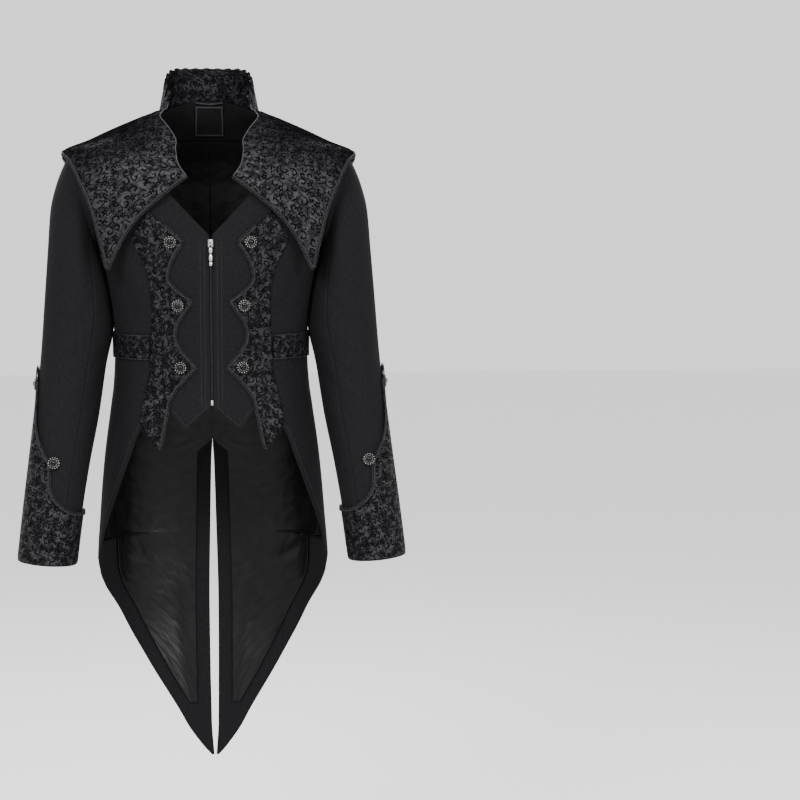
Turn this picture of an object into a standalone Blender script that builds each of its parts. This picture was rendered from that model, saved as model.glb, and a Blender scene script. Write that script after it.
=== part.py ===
"""Black tailcoat with a brocade cape collar, worn and hollow.

Metres, +Z up, the front faces -Y. The origin is the centre of the neck's base.
A level is a height z; an angle runs round the body from the side seam (0 degrees)
to the centre front (90) or to the centre back (-90).
"""
import math
from collections import namedtuple

import bmesh
import bpy
from mathutils import Vector

NAME = "tailcoat"

# Cloth thicknesses and the gaps between pieces
TWILL = 0.0012
BROCADE = 0.0015
LINING = 0.001
SEAM = 0.0006
SLEEVE_SEAM = 0.0016
EDGE_GAP = 0.0004
OVERLAY = 0.0026
BELT_OUT = 0.0031
LINING_GAP = 0.0032
LABEL_GAP = 0.0012
BRAID_RADIUS = 0.0016
MM = 0.001

LEFT = -1
RIGHT = 1
FRONT = 90.0
BACK = -90.0

# The coat's form at each level: half width at the side seam, depth to the front and
# to the back of the side seam's own depth (centre), and fullness of the corners
Ring = namedtuple("Ring", "z width front back centre fullness")
BODY = [
    Ring(0.072, 0.0560, 0.050, 0.0480, 0.000, 2.1),
    Ring(0.056, 0.0615, 0.053, 0.0500, 0.000, 2.1),
    Ring(0.036, 0.0700, 0.058, 0.0530, 0.000, 2.1),
    Ring(0.018, 0.0740, 0.063, 0.0570, 0.000, 2.1),
    Ring(0.000, 0.0780, 0.069, 0.0650, 0.000, 2.1),
    Ring(-0.012, 0.0930, 0.074, 0.0710, 0.000, 2.15),
    Ring(-0.030, 0.1290, 0.082, 0.0830, 0.000, 2.2),
    Ring(-0.0460, 0.1700, 0.091, 0.0930, 0.000, 2.25),
    Ring(-0.0600, 0.2005, 0.097, 0.0990, 0.000, 2.35),
    Ring(-0.078, 0.2100, 0.103, 0.1060, 0.000, 2.5),
    Ring(-0.120, 0.2090, 0.112, 0.1140, 0.000, 2.6),
    Ring(-0.180, 0.1910, 0.117, 0.1160, 0.000, 2.6),
    Ring(-0.2225, 0.1710, 0.118, 0.1130, 0.000, 2.6),
    Ring(-0.285, 0.1575, 0.113, 0.1040, 0.000, 2.5),
    Ring(-0.330, 0.1525, 0.107, 0.0960, 0.000, 2.4),
    Ring(-0.375, 0.1514, 0.102, 0.0920, 0.000, 2.4),
    Ring(-0.4256, 0.1540, 0.105, 0.1020, 0.000, 2.3),
    Ring(-0.4576, 0.1580, 0.108, 0.1080, -0.002, 2.3),
    Ring(-0.535, 0.1675, 0.110, 0.1220, -0.010, 2.3),
    Ring(-0.624, 0.1755, 0.105, 0.1380, -0.022, 2.3),
    Ring(-0.700, 0.1810, 0.094, 0.1480, -0.036, 2.3),
    Ring(-0.800, 0.1830, 0.085, 0.1380, -0.040, 2.3),
    Ring(-0.900, 0.1820, 0.075, 0.1150, -0.040, 2.3),
    Ring(-1.045, 0.1780, 0.065, 0.0780, -0.038, 2.3),
]

# The cape and lapels stand a little off the shoulders and past them
MANTLE = [
    Ring(0.036, 0.0730, 0.062, 0.0560, 0.000, 2.1),
    Ring(0.018, 0.0762, 0.066, 0.0592, 0.000, 2.1),
    Ring(0.000, 0.0825, 0.074, 0.0702, 0.000, 2.1),
    Ring(-0.012, 0.1100, 0.084, 0.0830, 0.000, 2.15),
    Ring(-0.030, 0.1520, 0.097, 0.0985, 0.000, 2.25),
    Ring(-0.0460, 0.1860, 0.103, 0.1040, 0.000, 2.35),
    Ring(-0.0634, 0.2253, 0.110, 0.1130, 0.000, 2.45),
    Ring(-0.100, 0.2370, 0.121, 0.1230, 0.000, 2.5),
    Ring(-0.150, 0.2450, 0.1245, 0.1265, 0.000, 2.45),
    Ring(-0.2136, 0.2560, 0.1250, 0.1270, 0.000, 2.35),
    Ring(-0.260, 0.2560, 0.1250, 0.1270, 0.000, 2.35),
]

# Lines across the panels: half distance from the centre at each level
Line = namedtuple("Line", "z x")
NECK_EDGE = [
    Line(0.000, 0.0775),
    Line(-0.012, 0.0745),
    Line(-0.030, 0.0715),
    Line(-0.060, 0.0670),
    Line(-0.126, 0.0665),
    Line(-0.160, 0.0342),
    Line(-0.193, 0.0026),
    Line(-0.500, 0.0026),
]
FRONT_SEAM = [
    Line(-0.012, 0.0880),
    Line(-0.030, 0.0930),
    Line(-0.130, 0.0960),
    Line(-0.250, 0.0850),
    Line(-0.350, 0.0740),
    Line(-0.458, 0.0660),
]
BACK_SEAM = [
    Line(-0.126, 0.1860),
    Line(-0.143, 0.1690),
    Line(-0.171, 0.1490),
    Line(-0.2137, 0.1255),
    Line(-0.270, 0.1120),
    Line(-0.3386, 0.1037),
    Line(-0.450, 0.1060),
    Line(-0.700, 0.1130),
    Line(-0.8336, 0.1160),
    Line(-0.8768, 0.1120),
]
CUT_AWAY = [
    Line(-0.458, 0.0660),
    Line(-0.4865, 0.1080),
    Line(-0.538, 0.1289),
    Line(-0.5943, 0.1497),
    Line(-0.6443, 0.1669),
    Line(-0.674, 0.1745),
    Line(-0.700, 0.1805),
]
TAIL_HEM = [
    Line(-0.700, 0.1805),
    Line(-0.725, 0.1795),
    Line(-0.750, 0.1740),
    Line(-0.7984, 0.1515),
    Line(-0.8336, 0.1355),
    Line(-0.8768, 0.1130),
    Line(-0.9072, 0.0960),
    Line(-0.9344, 0.0795),
    Line(-0.9728, 0.0560),
    Line(-0.9968, 0.0425),
    Line(-1.0176, 0.0275),
    Line(-1.0310, 0.0165),
    Line(-1.0432, 0.0048),
]
VENT = [
    Line(-0.440, 0.0003),
    Line(-0.470, 0.0026),
    Line(-0.550, 0.0045),
    Line(-0.650, 0.0052),
    Line(-0.800, 0.0078),
    Line(-0.990, 0.0060),
    Line(-1.0432, 0.0024),
]
FRONT_HEM = [
    Line(-0.456, 0.0026),
    Line(-0.4896, 0.0400),
    Line(-0.458, 0.0655),
]
COLLAR_SEAM_BACK = 0.019

# The levels at which every body panel is cut, so that neighbours share their seam's points
LEVELS = [
    -0.0125, -0.0300, -0.0460, -0.0600, -0.0800, -0.1030, -0.1260, -0.1430, -0.1600,
    -0.1770, -0.1930, -0.2080, -0.2225, -0.2500, -0.2850, -0.3200, -0.3550, -0.3900,
    -0.4256, -0.4400, -0.4560, -0.4700, -0.4865, -0.5380, -0.5943, -0.6443, -0.6740,
    -0.6990, -0.7250, -0.7500, -0.7984, -0.8336, -0.8768, -0.9072, -0.9344, -0.9728,
    -0.9968, -1.0176, -1.0310, -1.0432,
]
SHOULDER_SEAM_ANGLE = 0.05
PANEL_COLUMNS = 4
FRONT_LAST_LEVEL = -0.4400
SKIRT_LAST_LEVEL = -0.6990
TAIL_CORNER_Z = -0.7000
BACK_SEAM_TOP = -0.1260
SIDE_BACK_TOP = -0.1430
SIDE_BACK_LAST_LEVEL = -0.8336
SIDE_BACK_TIP = -0.8768
TAIL_TURN = -0.8780
SHOULDER_TIP = Line(-0.0600, 0.2005)
UNDERARM = Line(-0.2225, 0.1710)

# The lapel's corners and edges, from the neck's shoulder point round to the tip
LAPEL_INNER = [
    Line(-0.0015, 0.0700),
    Line(-0.0297, 0.0615),
    Line(-0.0564, 0.0505),
    Line(-0.0846, 0.0474),
    Line(-0.1030, 0.0350),
]
LAPEL_LOWER = [
    Line(-0.1030, 0.0350),
    Line(-0.1259, 0.0661),
    Line(-0.1759, 0.1190),
    Line(-0.2435, 0.1560),
]
LAPEL_OUTER = [
    Line(-0.0634, 0.2253),
    Line(-0.0768, 0.2136),
    Line(-0.1379, 0.1833),
    Line(-0.2179, 0.1605),
    Line(-0.2435, 0.1560),
]
CAPE_HEM = [
    Line(-0.1208, 0.0),
    Line(-0.1227, 0.0531),
    Line(-0.1320, 0.0923),
    Line(-0.1428, 0.1200),
    Line(-0.1623, 0.1516),
    Line(-0.1876, 0.1910),
    Line(-0.2136, 0.2286),
]
CAPE_OUTER = [
    Line(-0.0634, 0.2253),
    Line(-0.0900, 0.2205),
    Line(-0.1289, 0.2170),
    Line(-0.1784, 0.2226),
    Line(-0.2136, 0.2286),
]
CAPE_CENTRE = Line(-0.1208, 0.0)

# The brocade front trim: its scalloped inner edge by points and valleys, and its outer edge
Scallop = namedtuple("Scallop", "z x point")
TRIM_INNER = [
    Scallop(-0.1567, 0.0929, False),
    Scallop(-0.2030, 0.0420, True),
    Scallop(-0.2550, 0.0645, False),
    Scallop(-0.2935, 0.0282, True),
    Scallop(-0.3433, 0.0543, False),
    Scallop(-0.3953, 0.0238, True),
    Scallop(-0.4606, 0.0666, False),
    Scallop(-0.5200, 0.0790, False),
]
TRIM_OUTER = [
    Line(-0.1984, 0.1192),
    Line(-0.2347, 0.1007),
    Line(-0.2663, 0.0906),
    Line(-0.3049, 0.0894),
    Line(-0.3821, 0.0929),
    Line(-0.4068, 0.0940),
    Line(-0.4501, 0.1053),
    Line(-0.4809, 0.1099),
    Line(-0.5215, 0.0830),
]

# The sleeve by its outer and inner outlines, its depth and how far forward it hangs
Cuff = namedtuple("Cuff", "angle rise")
Section = namedtuple("Section", "step outer_x outer_z inner_x inner_z forward depth")
SLEEVE = [
    Section(0, 0.2010, -0.0600, 0.1716, -0.2225, 0.000, 0.062),
    Section(1, 0.2140, -0.0665, 0.1734, -0.2285, 0.000, 0.062),
    Section(2, 0.2250, -0.0840, 0.1728, -0.2350, 0.000, 0.064),
    Section(3, 0.2375, -0.1150, 0.1712, -0.2435, 0.000, 0.067),
    Section(4, 0.2470, -0.1540, 0.1690, -0.2570, 0.001, 0.068),
    Section(5, 0.2520, -0.2150, 0.1630, -0.2860, 0.004, 0.067),
    Section(6, 0.2575, -0.2850, 0.1585, -0.3320, 0.010, 0.063),
    Section(7, 0.2640, -0.3700, 0.1640, -0.3950, 0.018, 0.058),
    Section(8, 0.2705, -0.4450, 0.1755, -0.4720, 0.035, 0.054),
    Section(9, 0.2790, -0.5250, 0.1900, -0.5480, 0.058, 0.050),
    Section(10, 0.2880, -0.6050, 0.2010, -0.6180, 0.081, 0.047),
    Section(11, 0.2965, -0.6860, 0.2105, -0.6940, 0.103, 0.046),
]
SLEEVE_HEM_STEP = 11.0
SLEEVE_FULLNESS = 2.15
UNDER_SLEEVE_START = 118.0
UNDER_SLEEVE_END = 252.0
CUFF_COLUMNS = 22
CUFF_BRAID_HALF = 20
CUFF_BRAID_END = 179.0
CUFF_BRAID_DROP = 0.03
CUFF_EDGE = [
    Cuff(0.0, 7.35),
    Cuff(16.0, 7.60),
    Cuff(27.0, 8.25),
    Cuff(42.0, 8.65),
    Cuff(62.0, 8.92),
    Cuff(74.0, 9.08),
    Cuff(82.0, 9.55),
    Cuff(98.0, 9.82),
    Cuff(130.0, 9.98),
    Cuff(180.0, 10.0),
]

# Belt, buckle, buttons and zip
BELT_HALF_HEIGHT = 0.0185
BELT_LEVEL = [
    Line(-0.3665, BACK),
    Line(-0.3665, -60.0),
    Line(-0.3640, 0.0),
    Line(-0.3655, FRONT),
]
BELT_MIDDLE = -0.3660
BELT_SAG = 0.0085
BELT_SAG_REACH = 0.0550
BELT_COLUMNS = 22
BELT_END_GAP = 0.25
BELT_FRONT_X = 0.0945
BELT_LOOP_X = 0.0910
BELT_LOOP_WIDTH = 0.0095
BELT_LOOP_RISE = 0.0035
BUCKLE_WIDTH = 0.082
BUCKLE_HEIGHT = 0.058
BUCKLE_FRAME = 0.0100
BUCKLE_THICK = 0.0036
BUCKLE_SCALLOPS = 14
BUCKLE_SCALLOP_DEPTH = 0.0016
BUCKLE_X = -0.002
BUCKLE_STATIONS = 42
BUCKLE_SQUARENESS = 0.72
PRONG_RADIUS = 0.0013
PRONG_END_GAP = 0.0008
BUTTON_RADIUS = 0.0095
BUTTON_HEIGHT = 0.0058
FRONT_BUTTONS = [
    Line(-0.2030, 0.0605),
    Line(-0.2989, 0.0500),
    Line(-0.3950, 0.0470),
]
CUFF_BUTTONS = [
    Cuff(0.0, 7.72),
    Cuff(84.0, 9.05),
    Cuff(-62.0, 9.32),
]
ZIP_TOP = -0.1985
ZIP_BOTTOM = -0.4530
ZIP_HALF = 0.0021
TAPE_HALF = 0.0120
CHAIN_DROP = 0.0130
CHAIN_END_RISE = 0.0095
STOP_RISE = 0.0045
STOP_SIZE = (0.0036, 0.0022, 0.0080)
SLIDER_DROP = 0.0062
SLIDER_OUT = 0.0021
SLIDER_SIZE = (0.0078, 0.0034, 0.0120)
PULL_PIVOT_Z = -0.2035
PULL_LENGTH = 0.0370
PULL_EYE = 0.0020
PULL_FLAT = 0.62

RUFFLE_HEIGHT = 0.0135
RUFFLE_PLEAT = 0.0170
RUFFLE_DEPTH = 0.0030
RUFFLE_COLUMNS = 400
COLLAR_COLUMNS = 24
COLLAR_FRONT_ANGLE = 36.0
COLLAR_BACK_HEIGHT = 0.0560
COLLAR_FRONT_HEIGHT = 0.0400
FACING_BOTTOM = -0.0415
LINING_INSET = 0.0230
LABEL_HALF = 0.0233
LABEL_TOP = 0.0120
LABEL_BOTTOM = -0.0330
LOOP_RISE = 0.0050
LOOP_DROOP = 0.0022
LOOP_RADIUS = 0.0010
FACING_END_ANGLE = -10.0
LINING_VENT_TOP = -0.4550
LINING_VENT_EASE = 0.0200
LINING_ARMHOLE_BOTTOM = -0.2150
LINING_ARMHOLE_INSET = 6.0
LINING_SIDE_ANGLE = -7.0
LINING_HEM_TOP = -0.6800
LINING_TOP_LEVEL = -0.0600
LINING_LAST_LEVEL = -0.9344
LINING_TIP = -0.9600

COLOURS = {
    "twill": ((0.012, 0.012, 0.013), 0.85, 0.0),
    "brocade": ((0.020, 0.020, 0.021), 0.45, 0.0),
    "satin": ((0.008, 0.008, 0.009), 0.30, 0.0),
    "braid": ((0.010, 0.010, 0.011), 0.70, 0.0),
    "silver": ((0.35, 0.35, 0.36), 0.35, 1.0),
    "label": ((0.015, 0.015, 0.016), 0.50, 0.0),
}


def read(rows, key, at):
    """All columns of a table at one value of its key column, smoothly between its rows."""
    keys = [getattr(row, key) for row in rows]
    if keys[0] > keys[-1]:
        rows = rows[::-1]
        keys = keys[::-1]
    at = min(max(at, keys[0]), keys[-1])
    i = 0
    while i < len(keys) - 2 and at > keys[i + 1]:
        i += 1
    span = keys[i + 1] - keys[i]
    t = (at - keys[i]) / span
    values = []
    for column in range(len(rows[0])):
        here = rows[i][column]
        after = rows[i + 1][column]
        slope = (after - here) / span
        before_slope = slope
        after_slope = slope
        if i > 0:
            before_slope = (here - rows[i - 1][column]) / (keys[i] - keys[i - 1])
        if i < len(keys) - 2:
            after_slope = (rows[i + 2][column] - after) / (keys[i + 2] - keys[i + 1])
        start = blend_slope(before_slope, slope) * span
        end = blend_slope(slope, after_slope) * span
        values.append(
            (2 * t**3 - 3 * t**2 + 1) * here
            + (t**3 - 2 * t**2 + t) * start
            + (3 * t**2 - 2 * t**3) * after
            + (t**3 - t**2) * end
        )
    return type(rows[0])(*values)


def blend_slope(a, b):
    """A slope between two that never overshoots a turn."""
    if a * b <= 0:
        return 0.0
    return 2 * a * b / (a + b)


def power(value, exponent):
    """A signed power, for rounded rectangles."""
    return math.copysign(abs(value) ** exponent, value)


def on_ring(rows, z, angle):
    """The point of a ring table at a level and an angle round the body."""
    ring = read(rows, "z", z)
    turn = math.radians(angle)
    share = 2.0 / ring.fullness
    depth = ring.front if angle > 0 else ring.back
    x = ring.width * power(math.cos(turn), share)
    y = ring.centre - depth * power(math.sin(turn), share)
    return Vector((x, y, z))


def surface(rows, z, angle, out=0.0):
    """A point of the form, moved out along its own normal."""
    turn = 1.5
    rise = 0.003
    around = on_ring(rows, z, angle + turn) - on_ring(rows, z, angle - turn)
    along = on_ring(rows, z + rise, angle) - on_ring(rows, z - rise, angle)
    normal = along.cross(around)
    return on_ring(rows, z, angle) + normal.normalized() * out


def angle_at(rows, z, x, face):
    """The angle where a ring is x from the centre, on the front or the back face."""
    ring = read(rows, "z", z)
    share = min(max(x / ring.width, 0.0), 1.0)
    turn = math.degrees(math.acos(share ** (ring.fullness / 2.0)))
    return math.copysign(turn, face)


def x_on(lines, z):
    """How far a line lies from the centre at a level."""
    return read(lines, "z", z).x


def cut_levels(top, bottom):
    """The shared levels between a panel's top and bottom."""
    return [z for z in LEVELS if bottom - MM / 10 <= z <= top + MM / 10]


def levels(top, bottom, count):
    """Evenly spaced levels from top to bottom."""
    return [top + (bottom - top) * i / count for i in range(count + 1)]


def mirrored(point, side):
    """The same point on the chosen side of the body."""
    return Vector((point.x * side, point.y, point.z))


def material(kind):
    """The finish of one kind of piece."""
    finish = bpy.data.materials.get(kind) or bpy.data.materials.new(kind)
    finish.use_nodes = True
    colour, roughness, metallic = COLOURS[kind]
    shader = finish.node_tree.nodes["Principled BSDF"]
    shader.inputs["Base Color"].default_value = (*colour, 1.0)
    shader.inputs["Roughness"].default_value = roughness
    shader.inputs["Metallic"].default_value = metallic
    return finish


def put(name, mesh, kind):
    """A new named object in the coat's collection."""
    obj = bpy.data.objects.new(name, mesh)
    obj.data.materials.append(material(kind))
    coat.objects.link(obj)
    return obj


def cloth(name, grid, outward, wall, kind, closed=False):
    """A cut of cloth: an open surface through the grid, thickened away from its face."""
    mesh = bpy.data.meshes.new(name)
    build = bmesh.new()
    rows = [[build.verts.new(point) for point in row] for row in grid]
    across = len(grid[0]) - (0 if closed else 1)
    for upper, lower in zip(rows, rows[1:]):
        for i in range(across):
            j = (i + 1) % len(upper)
            build.faces.new((upper[i], lower[i], lower[j], upper[j]))
    build.normal_update()
    build.faces.ensure_lookup_table()
    middle = build.faces[len(build.faces) // 2]
    if middle.normal.dot(outward) < 0:
        bmesh.ops.reverse_faces(build, faces=build.faces[:])
    build.to_mesh(mesh)
    build.free()
    mesh.shade_smooth()
    obj = put(name, mesh, kind)
    thick = obj.modifiers.new("thickness", "SOLIDIFY")
    thick.thickness = wall
    thick.offset = -1.0
    return obj


def inset(grid, gap=SEAM / 2):
    """The grid with its two side edges drawn in by a seam's half gap."""
    for row in grid:
        first = (row[1] - row[0]).normalized() * gap
        last = (row[-2] - row[-1]).normalized() * gap
        row[0] = row[0] + first
        row[-1] = row[-1] + last
    return grid


def body_panel(name, side, zs, start, end, columns, kind, out=0.0, wall=TWILL, form=None):
    """A panel of the body between two edges, each an angle at every level."""
    rows = form or BODY
    grid = []
    for z in zs:
        a = start(z)
        b = end(z)
        row = []
        for i in range(columns + 1):
            angle = a + (b - a) * i / columns
            row.append(mirrored(surface(rows, z, angle, out), side))
        grid.append(row)
    z = zs[len(zs) // 2]
    angle = (start(z) + end(z)) / 2
    face = surface(rows, z, angle, MM) - surface(rows, z, angle)
    return cloth(name, inset(grid), mirrored(face, side), wall, kind)


def armhole_x(z):
    """The armhole's slanted plane."""
    share = (z - UNDERARM.z) / (SHOULDER_TIP.z - UNDERARM.z)
    return UNDERARM.x + share * (SHOULDER_TIP.x - UNDERARM.x)


def armhole_angle(z, face):
    """The angle where a panel ends at the armhole, or at the side seam below it."""
    if z <= UNDERARM.z or z >= SHOULDER_TIP.z:
        return 0.0
    return angle_at(BODY, z, armhole_x(z), face)


def side_name(stem, side):
    """A node's name on one side."""
    return stem + ("_L" if side == LEFT else "_R")


def front_panels(side):
    """Centre front and side front, with the pointed hem and the cut-away skirt."""

    def zip_edge(z):
        return angle_at(BODY, z, x_on(NECK_EDGE, z), FRONT)

    def front_seam(z):
        return angle_at(BODY, z, x_on(FRONT_SEAM, z), FRONT)

    zs = cut_levels(LEVELS[0], FRONT_LAST_LEVEL) + [FRONT_HEM[0].z]
    columns = PANEL_COLUMNS
    grid = []
    for z in zs:
        a = zip_edge(z)
        b = front_seam(z)
        row = [surface(BODY, z, a + (b - a) * i / columns) for i in range(columns + 1)]
        grid.append([mirrored(point, side) for point in row])
    hem = []
    for i in range(columns + 1):
        x = FRONT_HEM[0].x + (FRONT_HEM[2].x - FRONT_HEM[0].x) * i / columns
        if x < FRONT_HEM[1].x:
            t = (x - FRONT_HEM[0].x) / (FRONT_HEM[1].x - FRONT_HEM[0].x)
            z = FRONT_HEM[0].z + t * (FRONT_HEM[1].z - FRONT_HEM[0].z)
        else:
            t = (x - FRONT_HEM[1].x) / (FRONT_HEM[2].x - FRONT_HEM[1].x)
            z = FRONT_HEM[1].z + t * (FRONT_HEM[2].z - FRONT_HEM[1].z)
        z -= SEAM
        hem.append(mirrored(surface(BODY, z, angle_at(BODY, z, x, FRONT)), side))
    grid.append(hem)
    cloth(side_name("centre_front", side), inset(grid), Vector((0, -1, 0)), TWILL, "twill")

    def inner_edge(z):
        if z >= CUT_AWAY[0].z:
            return front_seam(z)
        return angle_at(BODY, z, x_on(CUT_AWAY, z), FRONT)

    def outer_edge(z):
        return armhole_angle(z, FRONT)

    zs = cut_levels(LEVELS[0], SKIRT_LAST_LEVEL)
    body_panel(side_name("side_front", side), side, zs, inner_edge, outer_edge, columns, "twill")


def back_panels(side):
    """Side back and centre back, from the armhole and neck to the tail's hem."""

    def back_seam(z):
        return angle_at(BODY, z, x_on(BACK_SEAM, z), BACK)

    def side_edge(z):
        if z > TAIL_CORNER_Z:
            return armhole_angle(z, BACK)
        return angle_at(BODY, z, x_on(TAIL_HEM, z), BACK)

    columns = PANEL_COLUMNS
    zs = cut_levels(SIDE_BACK_TOP, SIDE_BACK_LAST_LEVEL) + [SIDE_BACK_TIP]
    body_panel(side_name("side_back", side), side, zs, back_seam, side_edge, columns, "twill")

    def centre(z):
        x = 0.0 if z > VENT[0].z else x_on(VENT, z)
        return angle_at(BODY, z, x, BACK)

    def outer(z):
        if z >= BACK_SEAM_TOP:
            return armhole_angle(z, BACK)
        if z > TAIL_TURN:
            return back_seam(z)
        return angle_at(BODY, z, x_on(TAIL_HEM, z), BACK)

    grid = []
    neck = []
    below = []
    for i in range(columns + 1):
        angle = BACK * (1 - i / columns)
        neck.append(neck_point(BODY, angle, -SEAM))
        z = (neck_level(angle) + LEVELS[0]) / 2
        below.append(surface(BODY, z, angle))
    grid += [neck, below]
    for z in LEVELS:
        a = centre(z)
        b = outer(z)
        grid.append([surface(BODY, z, a + (b - a) * i / columns) for i in range(columns + 1)])
    grid = [[mirrored(point, side) for point in row] for row in grid]
    cloth(side_name("centre_back", side), inset(grid), Vector((0, 1, 0)), TWILL, "twill")


def neck_level(angle):
    """The height of the neck seam, which rises towards the back."""
    if angle > 0:
        return 0.0
    return COLLAR_SEAM_BACK * math.sin(math.radians(angle)) ** 2


def neck_point(rows, angle, rise=0.0, out=0.0):
    """A point of the neck seam, moved up the form by rise."""
    return surface(rows, neck_level(angle) + rise, angle, out)


def collar_top(angle):
    """The height of the stand collar's upper edge, lower towards the front."""
    share = (1 + math.sin(math.radians(angle))) / (1 + math.sin(math.radians(COLLAR_FRONT_ANGLE)))
    return COLLAR_BACK_HEIGHT + (COLLAR_FRONT_HEIGHT - COLLAR_BACK_HEIGHT) * share


def round_neck(count):
    """Angle and side for each column round the collar, from one front end to the other."""
    stations = []
    for i in range(count + 1):
        turn = -1 + 2 * i / count
        side = RIGHT if turn > 0 else LEFT
        angle = BACK + (COLLAR_FRONT_ANGLE - BACK) * abs(turn)
        stations.append((angle, side))
    return stations


def collar():
    """Stand collar and the box-pleated ruffle on its upper edge."""
    rows = 3
    stations = round_neck(COLLAR_COLUMNS)
    grid = []
    for i in range(rows + 1):
        row = []
        for angle, side in stations:
            low = neck_level(angle) + SEAM
            z = collar_top(angle) + (low - collar_top(angle)) * i / rows
            row.append(mirrored(surface(BODY, z, angle), side))
        grid.append(row)
    cloth("stand_collar", grid, Vector((0, 1, 0)), BROCADE, "brocade")

    fine = round_neck(RUFFLE_COLUMNS)
    path = [mirrored(surface(BODY, collar_top(a), a), s) for a, s in fine]
    lengths = [0.0]
    for a, b in zip(path, path[1:]):
        lengths.append(lengths[-1] + (b - a).length)
    pleats = round(lengths[-1] / RUFFLE_PLEAT)
    folds = (
        (0.02, 1.0),
        (0.58, 1.0),
        (0.66, 0.0),
        (0.94, 0.0),
    )
    rows = [[], []]
    for pleat in range(pleats):
        for share, depth in folds:
            at = (pleat + share) / pleats * lengths[-1]
            i = min(range(len(lengths)), key=lambda k: abs(lengths[k] - at))
            angle, side = fine[i]
            out = RUFFLE_DEPTH * depth
            low = collar_top(angle) + EDGE_GAP
            rows[0].append(mirrored(surface(BODY, low + RUFFLE_HEIGHT, angle, out), side))
            rows[1].append(mirrored(surface(BODY, low, angle, out * 0.5), side))
    cloth("ruffle", rows, Vector((0, 1, 0)), LINING, "brocade")


def flat_reach(a, b):
    """The distance between two points of an edge given by level and distance."""
    return math.hypot(b.z - a.z, b.x - a.x)


def mantle_reach(a, b):
    """The distance between two points of an edge given by level and angle on the mantle."""
    return (on_ring(MANTLE, a.z, a.x) - on_ring(MANTLE, b.z, b.x)).length


def between(lines, t, reach=flat_reach):
    """A point part way along an edge, by its own length."""
    lengths = [0.0]
    for a, b in zip(lines, lines[1:]):
        lengths.append(lengths[-1] + reach(a, b))
    at = t * lengths[-1]
    i = 0
    while i < len(lines) - 2 and at > lengths[i + 1]:
        i += 1
    share = (at - lengths[i]) / (lengths[i + 1] - lengths[i])
    a = lines[i]
    b = lines[i + 1]
    return Line(a.z + (b.z - a.z) * share, a.x + (b.x - a.x) * share)


def as_angles(lines, face):
    """An edge given by level and distance, as level and angle on the mantle."""
    return [Line(line.z, angle_at(MANTLE, line.z, line.x, face)) for line in lines]


def coons(top, bottom, inner, outer, across, down):
    """Levels and angles filling a patch between four edges."""
    grid = []
    for j in range(down + 1):
        v = (j / down) ** 1.3
        row = []
        for i in range(across + 1):
            u = i / across
            t = between(top, u, mantle_reach)
            b = between(bottom, u, mantle_reach)
            left = between(inner, v, mantle_reach)
            right = between(outer, v, mantle_reach)
            cell = []
            for k in range(2):
                ruled = (1 - v) * t[k] + v * b[k] + (1 - u) * left[k] + u * right[k]
                upper = (1 - u) * top[0][k] + u * top[-1][k]
                lower = (1 - u) * bottom[0][k] + u * bottom[-1][k]
                cell.append(ruled - (1 - v) * upper - v * lower)
            row.append(Line(*cell))
        grid.append(row)
    return grid


def lapel_cells():
    """The lapel between shoulder, lower edge, inner edge and outer edge."""
    shoulder = [as_angles(LAPEL_INNER, FRONT)[0], Line(-0.0012, 18.0), Line(-0.0010, 7.0)]
    shoulder += [Line(z, SHOULDER_SEAM_ANGLE) for z in levels(-0.0010, -0.0634, 6)]
    lower = as_angles(LAPEL_LOWER, FRONT)
    inner = as_angles(LAPEL_INNER, FRONT)
    outer = as_angles(LAPEL_OUTER, FRONT)
    outer[0] = shoulder[-1]
    return coons(shoulder, lower, inner, outer, 8, 8)


def cape_cells():
    """Half of the cape between neck and shoulder, hem, centre back and outer edge."""
    neck = [Line(neck_level(a), a) for a in (BACK, -75.0, -60.0, -45.0, -30.0, -15.0)]
    top = neck + [Line(z, -SHOULDER_SEAM_ANGLE) for z in levels(-0.001, -0.0634, 5)]
    hem = as_angles(CAPE_HEM, BACK)
    centre = [Line(top[0].z, BACK), Line(CAPE_CENTRE.z, BACK)]
    outer = as_angles(CAPE_OUTER, BACK)
    outer[0] = top[-1]
    return coons(top, hem, centre, outer, 12, 7)


def mantle_point(cell, side, out=0.0):
    """A point of the cape or lapel."""
    return mirrored(surface(MANTLE, cell.z, cell.x, out), side)


def mantle():
    """Lapels and cape, with braid along their free edges."""
    cells = lapel_cells()
    for side in (LEFT, RIGHT):
        grid = [[mantle_point(cell, side) for cell in row] for row in cells]
        face = Vector((side * 0.4, -1, 0.2))
        cloth(side_name("lapel", side), grid, face, BROCADE, "brocade")
        edge = [row[-1] for row in cells] + list(reversed(cells[-1]))[1:]
        lift = BRAID_RADIUS + EDGE_GAP
        points = [mantle_point(cell, side, lift) for cell in edge]
        braid(side_name("lapel_braid", side), points)
    half = cape_cells()
    grid = []
    for row in half:
        left = [mantle_point(cell, LEFT) for cell in reversed(row)]
        right = [mantle_point(cell, RIGHT) for cell in row[1:]]
        grid.append(left + right)
    cloth("cape", grid, Vector((0, 1, 0.2)), BROCADE, "brocade")
    edge = [row[-1] for row in half[1:]] + list(reversed(half[-1]))[1:]
    lift = BRAID_RADIUS + EDGE_GAP
    left = [mantle_point(cell, LEFT, lift) for cell in edge]
    right = [mantle_point(cell, RIGHT, lift) for cell in reversed(edge)]
    braid("cape_braid", left + right[1:])


def braid(name, points, radius=BRAID_RADIUS, kind="braid"):
    """A narrow corded braid laid along an edge."""
    curve = bpy.data.curves.new(name, "CURVE")
    curve.dimensions = "3D"
    curve.bevel_depth = radius
    curve.bevel_resolution = 0
    curve.use_fill_caps = True
    spline = curve.splines.new("POLY")
    spline.points.add(len(points) - 1)
    for slot, point in zip(spline.points, points):
        slot.co = (*point, 1.0)
    curve.materials.append(material(kind))
    obj = bpy.data.objects.new(name, curve)
    coat.objects.link(obj)
    return obj


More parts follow.
